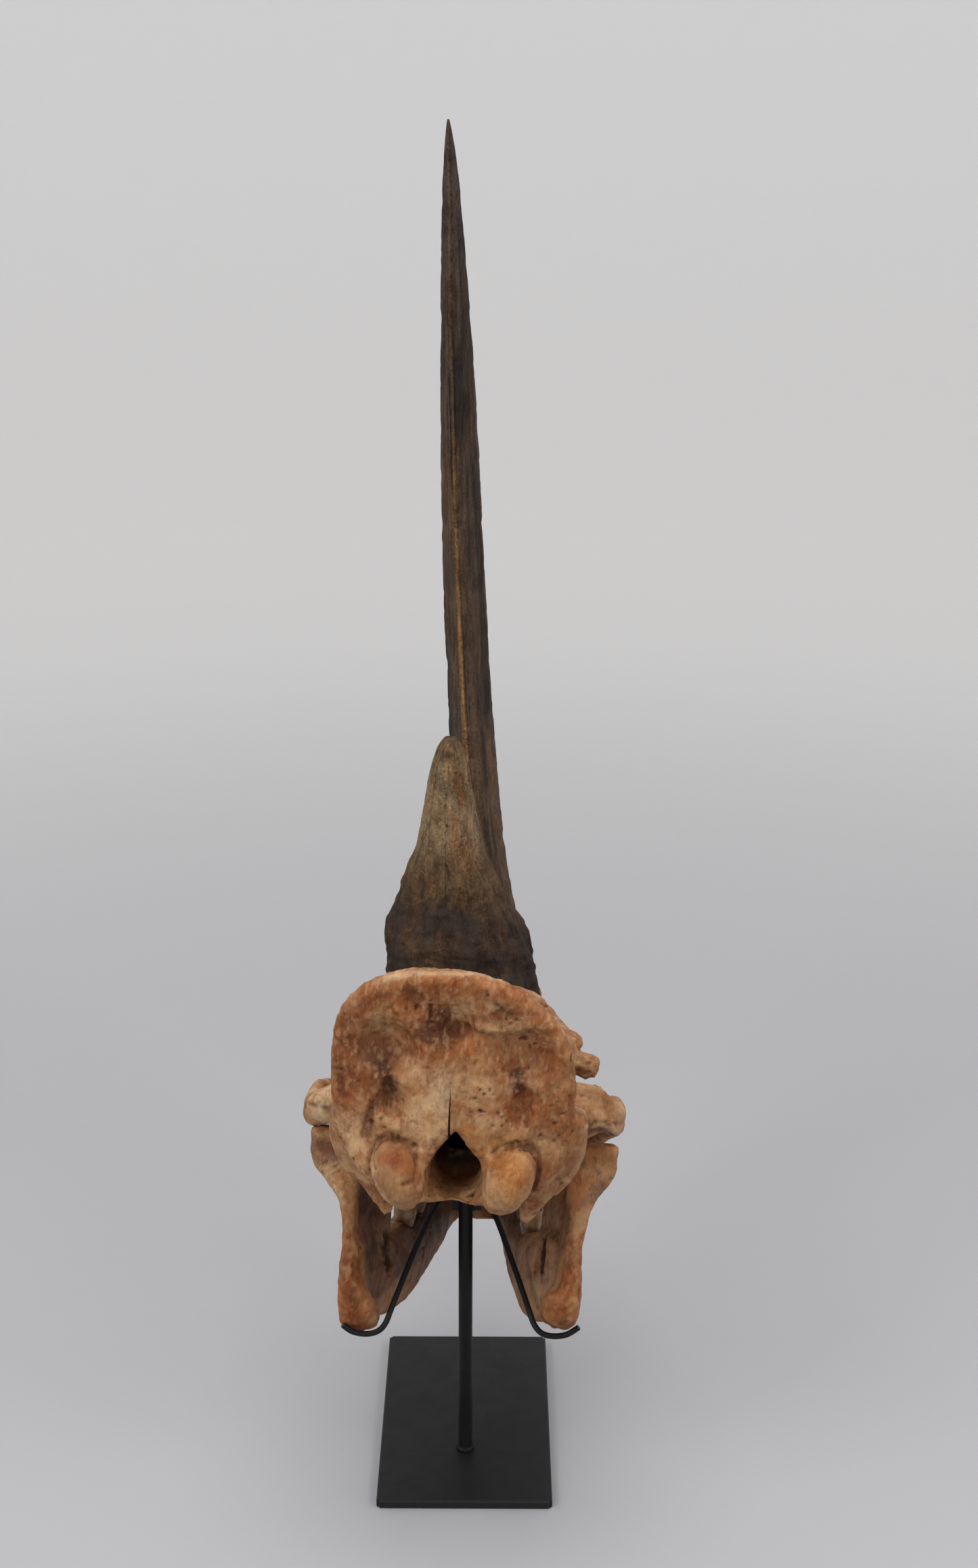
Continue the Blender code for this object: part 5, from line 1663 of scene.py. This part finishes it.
def floor_material():
    """Pale grey under the object, and lighter outward and up the sides."""
    t = Nodes("studio_floor")
    coords = t.object_place()
    far = t.tree.nodes.new("ShaderNodeVectorMath")
    far.operation = "LENGTH"
    t.put(far.inputs[0], t.stretched(coords, (1, 1, 0)))
    color = t.mix(t.steps(far.outputs["Value"], 0.9, 4.8), (0.430, 0.428, 0.440), (0.80, 0.79, 0.78))
    color = t.mix(t.steps(t.axes(coords)["Z"], 0.2, 2.6), color, (0.88, 0.88, 0.88))
    return t.set(Base_Color=color, Roughness=0.9, Specular_IOR_Level=0.1)


def make_floor():
    """A pale studio floor that curves up all round, far from the object."""
    profile = [(FLOOR_MIDDLE, 0.0), (1.0, 0.0), (FLOOR_REACH, 0.0)]
    profile += [(FLOOR_REACH + BOWL * math.sin(a), BOWL - BOWL * math.cos(a))
                for a in np.linspace(0.1, math.pi / 2, 14)]
    profile += [(FLOOR_REACH + BOWL, z) for z in WALL_LEVELS]
    shell = bmesh.new()
    rings = []
    for r, z in profile:
        angles = [2 * math.pi * i / FLOOR_SIDES for i in range(FLOOR_SIDES)]
        rings.append([shell.verts.new((r * math.cos(a), r * math.sin(a), z)) for a in angles])
    for low, high in zip(rings, rings[1:]):
        for i in range(FLOOR_SIDES):
            j = (i + 1) % FLOOR_SIDES
            shell.faces.new((low[i], high[i], high[j], low[j]))
    shell.faces.new(rings[0])
    floor = object_from(shell, "studio_floor")
    floor.data.materials.append(floor_material())
    floor.data.shade_smooth()


def add_area(name, place, target, size, power):
    light = bpy.data.objects.new(name, bpy.data.lights.new(name, "AREA"))
    light.data.size = size
    light.data.energy = power
    light.location = place
    light.rotation_mode = "QUATERNION"
    light.rotation_quaternion = (Vector(target) - Vector(place)).to_track_quat("-Z", "Y")
    bpy.context.scene.collection.objects.link(light)


def make_studio():
    scene = bpy.context.scene
    world = bpy.data.worlds.new("studio")
    scene.world = world
    world.use_nodes = True
    background = world.node_tree.nodes["Background"].inputs
    background["Color"].default_value = SKY_COLOR
    background["Strength"].default_value = SKY_STRENGTH
    for light in LIGHTS:
        add_area(*light)
    scene.view_settings.view_transform = "Standard"
    camera = bpy.data.objects.new("camera", bpy.data.cameras.new("camera"))
    camera.data.sensor_width = SENSOR
    camera.data.lens = LENS
    camera.location = EYE
    camera.rotation_euler = LOOK.to_euler()
    scene.collection.objects.link(camera)
    scene.camera = camera


def main():
    make_studio()
    make_floor()
    cranium = make_cranium(bone_material("bone", split=True))
    make_jaw(bone_material("jaw_bone"), cranium)
    make_teeth(tooth_material())
    make_nasal_horn(horn_material("nasal_horn", (1.55, 1.35, 1.15), (0.016, 0.011, 0.009)))
    make_frontal_horn(horn_material("frontal_horn", (1.45, 1.20, 0.95), (0.030, 0.019, 0.012)))
    make_stand(steel_material())


main()
